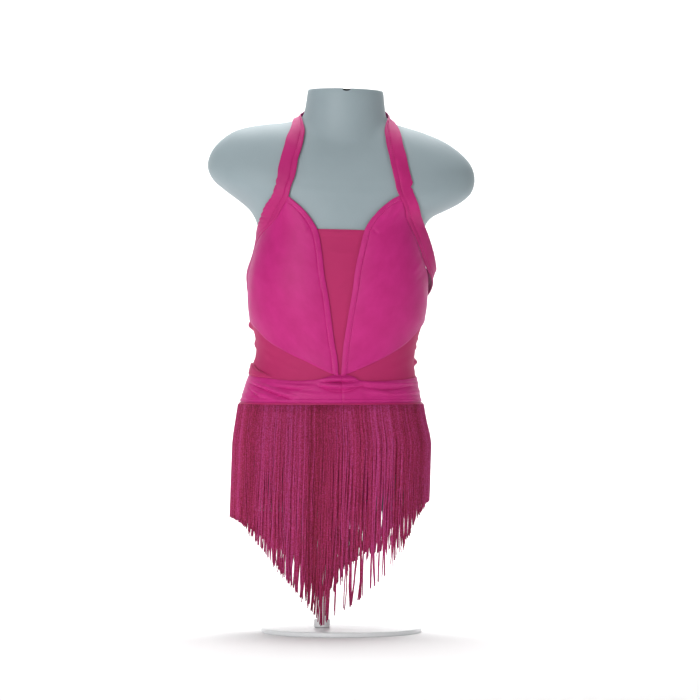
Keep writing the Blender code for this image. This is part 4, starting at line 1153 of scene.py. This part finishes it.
def back_panel():
    seam = SIDE_ANGLE + 0.4
    top_line = round_the_back([(seam, 424.0), (101.0, 424.0), (113.0, 419.0), (130.0, 412.0), (152.0, 409.0),
                               (180.0, 408.0)])
    low_z = BACK_TOP_Z - UNDERLAP
    low_line = [(seam, BRIEF_SIDE_TOP["right"] - UNDERLAP), (135.0, low_z), (180.0, low_z), (225.0, low_z),
                (360.0 - seam, BRIEF_SIDE_TOP["left"] - UNDERLAP)]
    top = edge_of((at_angle(*np.array(top_line).T), 120))
    bottom = edge_of((at_angle(*np.array(low_line).T), 120))
    start = edge_of((np.array([bottom[0], top[0]]), 48))
    end = edge_of((np.array([bottom[-1], top[-1]]), 48))
    chart = filled(bottom, top, start, end, even(120))
    flat = above_skin(chart, np.full(chart.shape[:2], MESH_LIFT))
    height = bump_height(chart, flat) + crease_height(flat, BACK_MESH_CREASES)
    cloth = lay_cloth("back_mesh_cloth", above_skin(chart, MESH_LIFT + height * in_the_open(flat)),
                      MESH_WALL, power_mesh)
    return wear(cloth, "back_mesh")


back_mesh = back_panel()

# %% [markdown]
# ## The brief
# The brief's fronts meet in a seam down the middle. Gathered cloth pinches up under the V's point like a
# small pair of lips, and long soft folds run from there to the sides. They are ridges and troughs from a
# short table, each with its own length, sag, height and width.

# %% Brief folds
BRIEF_FOLDS = [
    Crease(-27.0, 316.2, 26.0, 317.2, 0.5, 3.9, 3.3),
    Crease(-17.0, 313.2, 6.0, 312.8, 0.5, -3.0, 1.4),
    Crease(-28.0, 311.0, 27.0, 312.0, 3.6, 5.0, 4.2),
    Crease(-31.0, 309.5, 30.0, 309.5, 7.6, -3.0, 2.6),
    Crease(14.0, 313.8, 104.0, 312.0, 2.5, 2.0, 2.8),
    Crease(18.0, 309.5, 90.0, 308.5, 5.0, -1.9, 2.6),
    Crease(22.0, 303.5, 108.0, 302.0, 3.5, 2.0, 4.2),
    Crease(58.0, 299.3, 78.0, 300.2, 0.0, -1.0, 1.5),
    Crease(38.0, 294.0, 106.0, 295.0, 1.0, 0.8, 3.0),
    Crease(-116.0, 315.5, -50.0, 294.0, 2.0, 2.4, 3.6),
    Crease(-114.0, 311.5, -54.0, 288.8, 0.5, -2.0, 2.0),
    Crease(-118.0, 306.5, -70.0, 288.0, 1.0, 1.9, 3.2),
    Crease(-114.0, 306.0, -97.0, 291.5, 1.0, -1.5, 1.7),
    Crease(-124.0, 298.0, -104.0, 288.5, 1.0, 1.2, 3.0),
    Crease(-90.0, 311.5, -28.0, 308.0, 2.0, 1.6, 3.2),
    Crease(-80.0, 306.8, -46.0, 304.0, 1.0, -1.5, 1.9),
    Crease(-66.0, 301.0, -12.0, 297.0, 1.0, 1.0, 3.6),
]
TAPE_TOP_Z = 286.0
LEG_TOP_Z = 236.0
LEG_CURVE = [(88.0, 228.0), (70.0, 205.0), (50.0, 183.0), (38.0, 168.0)]
GUSSET_TOP_Z = 168.0
FRONT_MIDDLE = 2.0

# %% Brief fronts


def brief_front(side):
    sign = SIGN[side]
    seam_x = FRONT_MIDDLE + sign * SEAM_GAP / 2
    columns, low_rows, fold_rows = 84, 40, 56
    top_line = np.concatenate([[at_angle(sign * SIDE_ANGLE, BRIEF_SIDE_TOP[side])],
                               front_points(BRIEF_TOP[side][:-1]), [at_front(seam_x, 321.5)]])
    top = edge_of((top_line, columns))
    leg = np.concatenate([[at_angle(sign * SIDE_ANGLE, LEG_TOP_Z)],
                          front_points([(FRONT_MIDDLE + sign * x, z) for x, z in LEG_CURVE])])
    side_at_tape, seam_at_tape = at_angle(sign * SIDE_ANGLE, TAPE_TOP_Z), at_front(seam_x, TAPE_TOP_Z)
    leg_rows = low_rows * 2 // 3
    outer = edge_of((leg[::-1], leg_rows), (np.array([leg[0], side_at_tape]), low_rows - leg_rows),
                    (np.array([side_at_tape, top[0]]), fold_rows))
    inner = edge_of((np.array([at_front(seam_x, GUSSET_TOP_Z), seam_at_tape]), low_rows),
                    (np.array([seam_at_tape, top[-1]]), fold_rows))
    bottom = edge_of((np.array([outer[0], inner[0]]), columns))
    chart = filled(bottom, top, outer, inner, even(columns))
    flat = above_skin(chart, np.full(chart.shape[:2], STRETCH_LIFT))
    run, along = grid_lengths(flat)
    clear = np.clip((SIDE_ANGLE - np.abs(chart[..., 0])) / 5, 0.35, 1) * np.clip(
        (flat[..., 2] - TAPE_TOP_Z - 0.5) / 3, 0, 1)
    from_seam, from_top = run[:, -1:] - run, along[-1:] - along
    seam = -0.8 * np.exp(-((from_seam / 0.9) ** 2)) + 0.3 * np.exp(-(((from_seam - 2.4) / 1.4) ** 2))
    edge_fall = -0.6 * np.exp(-((from_top / 0.9) ** 2))
    leg_hem = 0.5 / (1 + np.exp(((run - run[:, :1]) - 7.0) / 0.5)) * (flat[..., 2] < LEG_TOP_Z)
    level = flat[..., 2]
    header = 0.9 * np.exp(-(((level - 290.0) / 1.3) ** 2)) - 0.3 * np.exp(-(((level - 287.4) / 0.7) ** 2))
    height = np.maximum(crease_height(flat, BRIEF_FOLDS), -1.3) * clear + seam + edge_fall + leg_hem + header
    cloth = lay_cloth(f"brief_cloth_{side}", above_skin(chart, STRETCH_LIFT + height),
                      STRETCH_WALL, stretch_knit)
    return wear(cloth, f"brief_front_{side}")


brief = {side: brief_front(side) for side in ("left", "right")}

# %% Brief back
BACK_FOLDS = [
    Crease(-118.0, 316.0, -20.0, 302.0, 3.0, 1.4, 5.0),
    Crease(96.0, 306.0, 10.0, 300.0, 2.0, 1.2, 5.0),
    Crease(-104.0, 296.0, -40.0, 292.0, 1.0, 0.9, 4.0),
    Crease(60.0, 318.0, -10.0, 314.0, 1.0, 0.8, 4.0),
]


def brief_back():
    seam = SIDE_ANGLE + 0.4
    angles = np.array([(180.0 - 72.0, 214.0), (180.0 - 50.0, 190.0), (180.0 - 31.0, GUSSET_TOP_Z)])
    leg = np.concatenate([[at_angle(seam, LEG_TOP_Z)], at_angle(angles[:, 0], angles[:, 1])])
    other = np.stack([360.0 - leg[:, 0], leg[:, 1]], axis=-1)
    top_line = [(seam, BRIEF_SIDE_TOP["right"]), (135.0, BACK_TOP_Z), (180.0, BACK_TOP_Z),
                (225.0, BACK_TOP_Z), (360.0 - seam, BRIEF_SIDE_TOP["left"])]
    top = edge_of((at_angle(*np.array(top_line).T), 130))
    start = edge_of((leg[::-1], 40), (np.array([leg[0], top[0]]), 40))
    end = edge_of((other[::-1], 40), (np.array([other[0], top[-1]]), 40))
    bottom = edge_of((np.array([start[0], end[0]]), 130))
    chart = filled(bottom, top, start, end, even(130))
    flat = above_skin(chart, np.full(chart.shape[:2], STRETCH_LIFT))
    _, along = grid_lengths(flat)
    clear = np.clip((flat[..., 2] - TAPE_TOP_Z - 0.5) / 3, 0, 1)
    edge_fall = -0.6 * np.exp(-(((along[-1:] - along) / 0.9) ** 2))
    height = crease_height(flat, BACK_FOLDS) * clear + edge_fall
    cloth = lay_cloth("brief_cloth_back", above_skin(chart, STRETCH_LIFT + height),
                      STRETCH_WALL, stretch_knit)
    return wear(cloth, "brief_back")


seat = brief_back()

# %% [markdown]
# The gusset joins front and back between the legs. Nothing holds it up but its ends, so it hangs in a curve
# under the form, and its edges draw in.

# %% Gusset
GUSSET_LOW_Z = 130.0
GUSSET_HALF_TOP, GUSSET_HALF_MIDDLE = 38.0, 22.0
GUSSET_SWING = 6.0


def gusset_cloth():
    """The strip that joins front and back under the form, hanging in a curve with its edges drawn in."""
    reach = np.array([STRETCH_LIFT + STRETCH_WALL])
    front = above_skin(at_front(FRONT_MIDDLE, GUSSET_TOP_Z)[None], reach)[0]
    back = above_skin(at_angle(180.0, GUSSET_TOP_Z)[None], reach)[0]
    front_y, back_y = front[1] + STRETCH_WALL, back[1] - STRETCH_WALL
    top_z = min(front[2], back[2]) - 2 * SEAM_GAP
    turn = np.pi * even(60)[:, None]
    across = even(24)[None, :] * 2 - 1
    sine = np.maximum(np.sin(turn), 0.0)
    half = GUSSET_HALF_TOP + (GUSSET_HALF_MIDDLE - GUSSET_HALF_TOP) * sine**0.5
    x = FRONT_MIDDLE + GUSSET_SWING * sine**0.5 + half * across
    y = (front_y + back_y) / 2 - (back_y - front_y) / 2 * np.cos(turn) + 0 * across
    z = top_z - (top_z - GUSSET_LOW_Z) * sine**0.75 + 0 * across
    hem = 0.5 * (np.abs(across) ** 12) * np.sin(y / 2.2)
    places = np.stack([x, y, z + hem * sine], axis=-1)
    cloth = lay_cloth("gusset_cloth", places, STRETCH_WALL, stretch_knit)
    return wear(cloth, "gusset")


gusset = gusset_cloth()

# %% [markdown]
# ## The fringe
# Real fringe is chainette yarn sewn to a tape in two rows, hundreds of strands that hang almost parallel. One
# four-sided strand is modelled, an Array modifier repeats it, and each copy is then laid on its own hanging
# line. The lines lie over the hips and fall straight below them. Neighbours draw together into small locks,
# and the ends are ragged and curl a little. On the right the under row is cut higher, so only sparse locks of
# the upper row show below it.

# %% Hanging lines
HANG_FROM_Z = 236.0
FRINGE_LEAN = 0.033
FRONT_CUT = [(-140.0, 146.0), (-124.0, 138.0), (-101.0, 110.0), (-69.0, 70.0), (-35.0, 30.0), (-24.0, 12.5),
             (1.0, 30.0), (28.0, 50.0), (50.0, 70.0), (65.0, 90.0), (79.0, 110.0), (90.0, 138.0),
             (105.0, 160.0), (112.0, 166.0)]
UNDER_CUT = [(-140.0, 147.0), (-126.0, 140.0), (-101.0, 112.0), (-72.0, 72.0), (-39.0, 38.0), (-20.0, 51.0),
             (-1.0, 69.0), (25.0, 100.0), (68.0, 105.0), (79.0, 112.0), (90.0, 139.0), (105.0, 161.0),
             (112.0, 167.0)]
BACK_CUT = [(-140.0, 144.0), (-80.0, 98.0), (-22.0, 54.0), (30.0, 96.0), (112.0, 168.0)]
HIP_STATIONS = np.array([284.3, 273.0, 261.0, 248.0])
HEAD_SUNK = np.array([0.7, 0.5, 0.2, 0.0])
HANG_STATIONS = 9


def hanging_lines(angles, lift, ends):
    """Centre lines of strands, from inside the tape to their ends."""
    high = above_skin(at_angle(angles[:, None], HIP_STATIONS[None, :]), lift[:, None] - HEAD_SUNK[None, :])
    top = above_skin(at_angle(angles, HANG_FROM_Z), lift)
    z = HANG_FROM_Z + (ends - HANG_FROM_Z)[:, None] * even(HANG_STATIONS - 1)[None, :]
    x = top[:, :1] - FRINGE_LEAN * (HANG_FROM_Z - z)
    low = np.stack([x, np.broadcast_to(top[:, 1:2], x.shape), z], axis=-1)
    return np.concatenate([high, low], axis=1)


def ends_on(cut, angles, lift):
    """The height at which each strand meets the cut."""
    cut = np.array(cut)
    top = above_skin(at_angle(angles, HANG_FROM_Z), lift)
    end = np.full(len(angles), HANG_FROM_Z)
    for _ in range(5):
        end = np.interp(top[:, 0] - FRINGE_LEAN * (HANG_FROM_Z - end), cut[:, 0], cut[:, 1])
    return end


def evenly_round(start, end, count):
    """Angles that divide the tape's run round the hips into equal lengths."""
    fine = np.linspace(start, end, 720)
    run = travelled(above_skin(at_angle(fine, TAPE_TOP_Z), np.full(720, TAPE_LIFT)))
    return np.interp((np.arange(count) + 0.5) / count * run[-1], run, fine)


print("front strands end at:", ends_on(FRONT_CUT, np.array([-90.0, -20.0, 60.0]), np.full(3, 5.0)).round(1))

# %% Locks, sway and ragged ends
LOCK_SIZES = (2, 3, 3, 4, 5)


def locks_of(count, rng):
    """The lock that each strand belongs to."""
    sizes = rng.choice(LOCK_SIZES, size=count)
    return np.repeat(np.arange(count), sizes)[:count]


def with_sway(lines, angles, lock, pull, rng):
    """Moves hanging lines together into locks, and lets them wander and curl at their ends."""
    count = len(lines)
    below = np.clip((TAPE_TOP_Z - lines[..., 2]) / 150.0, 0.0, None)
    ahead = np.radians(angles)
    side = np.stack([np.cos(ahead), np.sin(ahead), 0 * ahead], axis=-1)
    out = np.stack([np.sin(ahead), -np.cos(ahead), 0 * ahead], axis=-1)
    locks = np.arange(lock.max() + 1)
    middles = np.array([lines[lock == k].mean(axis=0) for k in locks])[lock]
    grip = pull[:, None] * np.clip(below * 1.5 - 0.2, 0, 1) ** 1.2
    moved = lines + (middles - lines) * grip[..., None] * [1, 1, 0]
    lock_phase, lock_swing = rng.uniform(0, 6.28, len(locks))[lock], rng.uniform(0.2, 1.5, len(locks))[lock]
    own_phase, own_swing = rng.uniform(0, 6.28, count), rng.uniform(0.1, 0.8, count)
    fall = TAPE_TOP_Z - lines[..., 2]
    wander = below * (lock_swing[:, None] * np.sin(fall / 31.0 + lock_phase[:, None])
                      + own_swing[:, None] * np.sin(fall / 13.0 + own_phase[:, None]))
    tip = np.concatenate([np.zeros(lines.shape[1] - 4), [0.02, 0.15, 0.45, 1.0]])
    curl = rng.normal(0.0, 1.3, count)[:, None] * tip
    drift = rng.normal(0.0, 0.35, count)[:, None] * below
    return moved + side[:, None] * (wander + curl)[..., None] + out[:, None] * drift[..., None]


# %% Strands
STRAND_SEGMENTS = len(HIP_STATIONS) + HANG_STATIONS - 1
STRAND_SPACING = 10.0


def strand_template():
    """One upright four-sided strand, with a ring of corners for each station."""
    bpy.ops.object.select_all(action="DESELECT")
    bpy.ops.mesh.primitive_cylinder_add(vertices=4, radius=1.0, depth=2.0)
    strand = bpy.context.object
    bpy.ops.object.mode_set(mode="EDIT")
    bpy.ops.mesh.select_mode(type="EDGE")
    bpy.ops.mesh.select_all(action="DESELECT")
    bpy.ops.object.mode_set(mode="OBJECT")
    for edge in strand.data.edges:
        low, high = (strand.data.vertices[i].co.z for i in edge.vertices)
        edge.select = abs(high - low) > 1.0
    bpy.ops.object.mode_set(mode="EDIT")
    bpy.ops.mesh.subdivide(number_cuts=STRAND_SEGMENTS - 1, smoothness=0.0)
    bpy.ops.object.mode_set(mode="OBJECT")
    return strand


def hang_strands(name, lines, angles, radii, tones_with_shade):
    """Repeats the strand and lays each copy along its line, in millimetres."""
    strands = strand_template()
    strands.name = strands.data.name = name
    repeat = strands.modifiers.new("repeat", "ARRAY")
    repeat.count = len(lines)
    repeat.use_relative_offset = False
    repeat.use_constant_offset = True
    repeat.constant_offset_displace = (STRAND_SPACING, 0.0, 0.0)
    select_only(strands)
    bpy.ops.object.modifier_apply(modifier="repeat")
    spots = np.empty(len(strands.data.vertices) * 3)
    strands.data.vertices.foreach_get("co", spots)
    spots = spots.reshape(-1, 3)
    number = np.rint(spots[:, 0] / STRAND_SPACING).astype(int)
    station = np.rint((1.0 - spots[:, 2]) / 2.0 * STRAND_SEGMENTS).astype(int)
    corner = np.arctan2(spots[:, 1], spots[:, 0] - number * STRAND_SPACING)
    ahead = np.radians(angles)[number]
    side = np.stack([np.cos(ahead), np.sin(ahead), 0 * ahead], axis=-1)
    out = np.stack([np.sin(ahead), -np.cos(ahead), 0 * ahead], axis=-1)
    taper = np.interp(station, [0, STRAND_SEGMENTS - 1, STRAND_SEGMENTS], [0.9, 1.05, 0.85])
    reach = (radii[number] * taper)[:, None]
    places = lines[number, station] + reach * (side * np.cos(corner)[:, None] + out * np.sin(corner)[:, None])
    strands.data.vertices.foreach_set("co", (places * MM).ravel())
    run = np.concatenate([np.zeros((len(lines), 1)),
                          np.cumsum(np.linalg.norm(np.diff(lines, axis=1), axis=2), axis=1)], axis=1)
    for key, values in (("yarn_tone_and_shade", tones_with_shade[number]), ("yarn_along", run[number, station] * MM)):
        strands.data.attributes.new(key, "FLOAT", "POINT").data.foreach_set("value", values)
    strands.data.update()
    bpy.ops.object.shade_smooth_by_angle(angle=math.radians(100))
    strands.data.materials.append(chainette_yarn)
    print(name, "strands:", len(lines), "faces:", len(strands.data.polygons),
          "mm long:", run[:, -1].min().round(), "to", run[:, -1].max().round())
    return strands


# %% Fringe halves
ROW_STRANDS = 260
UPPER_LIFT, UNDER_LIFT = 6.2, 5.0


def fringe_half(node, start, end, upper_cut, under_cut, seed, painted_back_shade):
    """The two rows of strands round one half of the hips."""
    rng = np.random.default_rng(seed)
    lines, angles, tones_with_shade = [], [], []
    for lift_here, cut in ((UNDER_LIFT, under_cut), (UPPER_LIFT, upper_cut)):
        around = evenly_round(start, end, ROW_STRANDS)
        lift = np.full(ROW_STRANDS, lift_here) + rng.uniform(-0.25, 0.25, ROW_STRANDS)
        lock = locks_of(ROW_STRANDS, rng)
        pull = rng.uniform(0.0, 0.25, lock.max() + 1)[lock]
        ends = ends_on(cut, around, lift)
        if cut is FRONT_CUT:
            higher = ends_on(UNDER_CUT, around, lift)
            sparse = (higher - ends > 8.0) & (np.sin(np.radians(around)) > 0.04)
            short = rng.uniform(0, 1, lock.max() + 1)[lock] < 0.42
            ends = np.where(sparse & short, higher + rng.uniform(-9, 3, ROW_STRANDS), ends)
            pull = np.where(sparse, rng.uniform(0.45, 0.85, lock.max() + 1)[lock], pull)
        ends = ends + rng.gamma(1.4, 1.3, ROW_STRANDS)
        lines.append(with_sway(hanging_lines(around, lift, ends), around, lock, pull, rng))
        angles.append(around)
        cloud = 0.5 + 0.14 * np.sin(around / 9.0 + seed) + 0.10 * np.sin(around / 3.7)
        # Painted shade: the under row, which hangs beneath the upper one, is darkened in tone.
        shade = 0.1 if lift_here == UNDER_LIFT else 0.0
        tones_with_shade.append(cloud - painted_back_shade + rng.normal(0, 0.15, ROW_STRANDS) - shade)
    lines, angles, tones_with_shade = np.concatenate(lines), np.concatenate(angles), np.clip(np.concatenate(tones_with_shade), 0, 1)
    radii = rng.uniform(0.68, 0.86, len(lines))
    strands = hang_strands(f"{node}_strands", lines, angles, radii, tones_with_shade)
    return wear(strands, node)


fringe_front = fringe_half("fringe_front", -SIDE_ANGLE, SIDE_ANGLE, FRONT_CUT, UNDER_CUT, 11, 0.0)
# Painted shade: the back half's last argument darkens its strands' tone for the shadow they hang in behind
# the form.
fringe_back = fringe_half("fringe_back", SIDE_ANGLE + 1.0, 359.0 - SIDE_ANGLE, BACK_CUT, BACK_CUT, 12, 0.08)

# %% [markdown]
# The strands' heads are sewn into a narrow tape, whose two rows of stitching raise two fine ridges.

# %% Tape
TAPE_HEIGHT = 5.0
TAPE_SUNK, TAPE_WALL = 0.5, 0.8
TAPE_RIDGES = ((0.4, 0.8), (0.5, 2.9))
TAPE_RIDGE_WIDTH = 0.58


def hip_tape(node, start, end):
    columns, rows = 240, 14
    angles = evenly_round(start, end, columns + 1)
    angles[0], angles[-1] = start, end
    z = TAPE_TOP_Z - TAPE_HEIGHT + TAPE_HEIGHT * even(rows)
    chart = at_angle(angles[None, :], z[:, None])
    ridges = sum(rise * np.exp(-(((z - TAPE_TOP_Z + low) / TAPE_RIDGE_WIDTH) ** 2))
                 for rise, low in TAPE_RIDGES)
    beads = 1.0 + 0.18 * np.sin(np.arange(columns + 1) * 2.1)
    height = ridges[:, None] * beads[None, :]
    tape = lay_cloth(f"{node}_tape", above_skin(chart, TAPE_LIFT - TAPE_SUNK + height), TAPE_WALL, tape_cloth)
    print(tape.name, "mm long:", round(cloth_cuts[tape.name].width / MM))
    return wear(tape, node)


tape_cloth = knit_finish("tape_cloth", (0.40, 0.016, 0.10), (0.48, 0.022, 0.14))
tape_front = hip_tape("fringe_front", -SIDE_ANGLE, SIDE_ANGLE)
tape_back = hip_tape("fringe_back", SIDE_ANGLE + 1.0, 359.0 - SIDE_ANGLE)

# %% [markdown]
# ## Topstitching
# The turned hems are held by a row of lockstitches in the cloth's own colour. One stitch is a low sphere
# drawn out to a grain. An Array modifier repeats it, and each copy is laid in the hem's groove.

# %% Stitches
STITCH_PITCH = 3.0
STITCH_HALF = 1.05
STITCH_RADIUS = 0.24


def resampled(places, pitch):
    """Points at equal steps along a line of points, and the line's direction at each."""
    run = travelled(places)
    wanted = np.arange(pitch, run[-1] - pitch / 2, pitch)
    found = np.stack([np.interp(wanted, run, places[:, k]) for k in range(3)], axis=-1)
    beyond = np.stack([np.interp(wanted + 0.5, run, places[:, k]) for k in range(3)], axis=-1)
    return found, unit(beyond - found)


def sew(name, places, away):
    """A row of stitches along a line of points, lying on a surface that faces the given directions."""
    spots, along = resampled(places, STITCH_PITCH)
    facing, _ = resampled(np.concatenate([places, places[-1:]])[:-1] + away, STITCH_PITCH)
    count = min(len(spots), len(facing))
    spots, along = spots[:count], along[:count]
    out = unit(facing[:count] - spots)
    across = np.cross(along, out)
    bpy.ops.object.select_all(action="DESELECT")
    bpy.ops.mesh.primitive_uv_sphere_add(segments=6, ring_count=4, radius=1.0)
    row = bpy.context.object
    row.name = row.data.name = name
    repeat = row.modifiers.new("repeat", "ARRAY")
    repeat.count = count
    repeat.use_relative_offset = False
    repeat.use_constant_offset = True
    repeat.constant_offset_displace = (STRAND_SPACING, 0.0, 0.0)
    bpy.ops.object.modifier_apply(modifier="repeat")
    own = np.empty(len(row.data.vertices) * 3)
    row.data.vertices.foreach_get("co", own)
    own = own.reshape(-1, 3)
    number = np.rint(own[:, 0] / STRAND_SPACING).astype(int)
    own[:, 0] -= number * STRAND_SPACING
    laid = (spots[number] + along[number] * own[:, 2:] * STITCH_HALF
            + (across[number] * own[:, :1] + out[number] * own[:, 1:2]) * STITCH_RADIUS)
    row.data.vertices.foreach_set("co", (laid * MM).ravel())
    row.data.update()
    select_only(row)
    bpy.ops.object.mode_set(mode="EDIT")
    bpy.ops.mesh.select_all(action="SELECT")
    bpy.ops.mesh.normals_make_consistent(inside=False)
    bpy.ops.object.mode_set(mode="OBJECT")
    bpy.ops.object.shade_smooth()
    row.data.materials.append(pink_thread)
    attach(row, "root")
    print(name, "stitches:", count)
    return row


# %% Stitch rows
def sew_cup(side):
    _, places, chart, height = cups[side]
    run, _ = grid_lengths(places)
    from_hem = run[:, -1:] - run
    column = np.argmin(np.abs(from_hem - HEM_WIDTH + 0.6), axis=1)
    rows = np.arange(3, len(places) - 2)
    away = outward(chart[rows, column[rows], 0], chart[rows, column[rows], 1])
    line = places[rows, column[rows]] + away * (STRETCH_WALL + 0.05)
    return sew(f"cup_stitches_{side}", line, away)


def sew_band(side):
    _, stations = bands[side]
    chart = band_chart(stations, STITCH_ACROSS)
    away = outward(chart[:, 0], chart[:, 1])
    line = above_skin(chart, band_lift(stations, STITCH_ACROSS) + 1.0)
    return sew(f"band_stitches_{side}", line, away)


stitch_rows = {side: (sew_cup(side), sew_band(side)) for side in ("left", "right")}

# %% [markdown]
# ## What each cloth was cut to
# Stretch knit and mesh are cut smaller than the body they go on. Each piece's cut is its worn size from its
# own grid, times the share that the cloth is stretched from. The gathered bands are cut to nearly the length
# that they lie at, for their elastic draws in what the stretch lets out. Stitches, tape and strands go with
# the piece that carries them.

# %% Cloth cuts
CUT_SHARE = {"stretch": 0.92, "mesh": 0.90, "band": 0.98}
BAND_CUT_WIDTH = 0.020


def declare_cloth(piece, kind):
    share = CUT_SHARE[kind]
    worn = cloth_cuts[piece.name]
    cut = Cut(worn.width * share, worn.length * share, worn.area * share**2)
    if kind == "band":
        cut = cut._replace(length=BAND_CUT_WIDTH)
    print(piece.name, "cut:", [round(value / MM) for value in cut[:2]], "mm", round(cut.area * 1e4, 1), "cm2")


for side in ("left", "right"):
    declare_cloth(cups[side][0], "stretch")
    declare_cloth(bands[side][0], "band")
    declare_cloth(midriff[side], "mesh")
declare_cloth(wedge, "mesh")
declare_cloth(back_mesh, "mesh")
declare_cloth(brief["left"], "stretch")
declare_cloth(brief["right"], "stretch")
declare_cloth(seat, "stretch")
declare_cloth(gusset, "stretch")
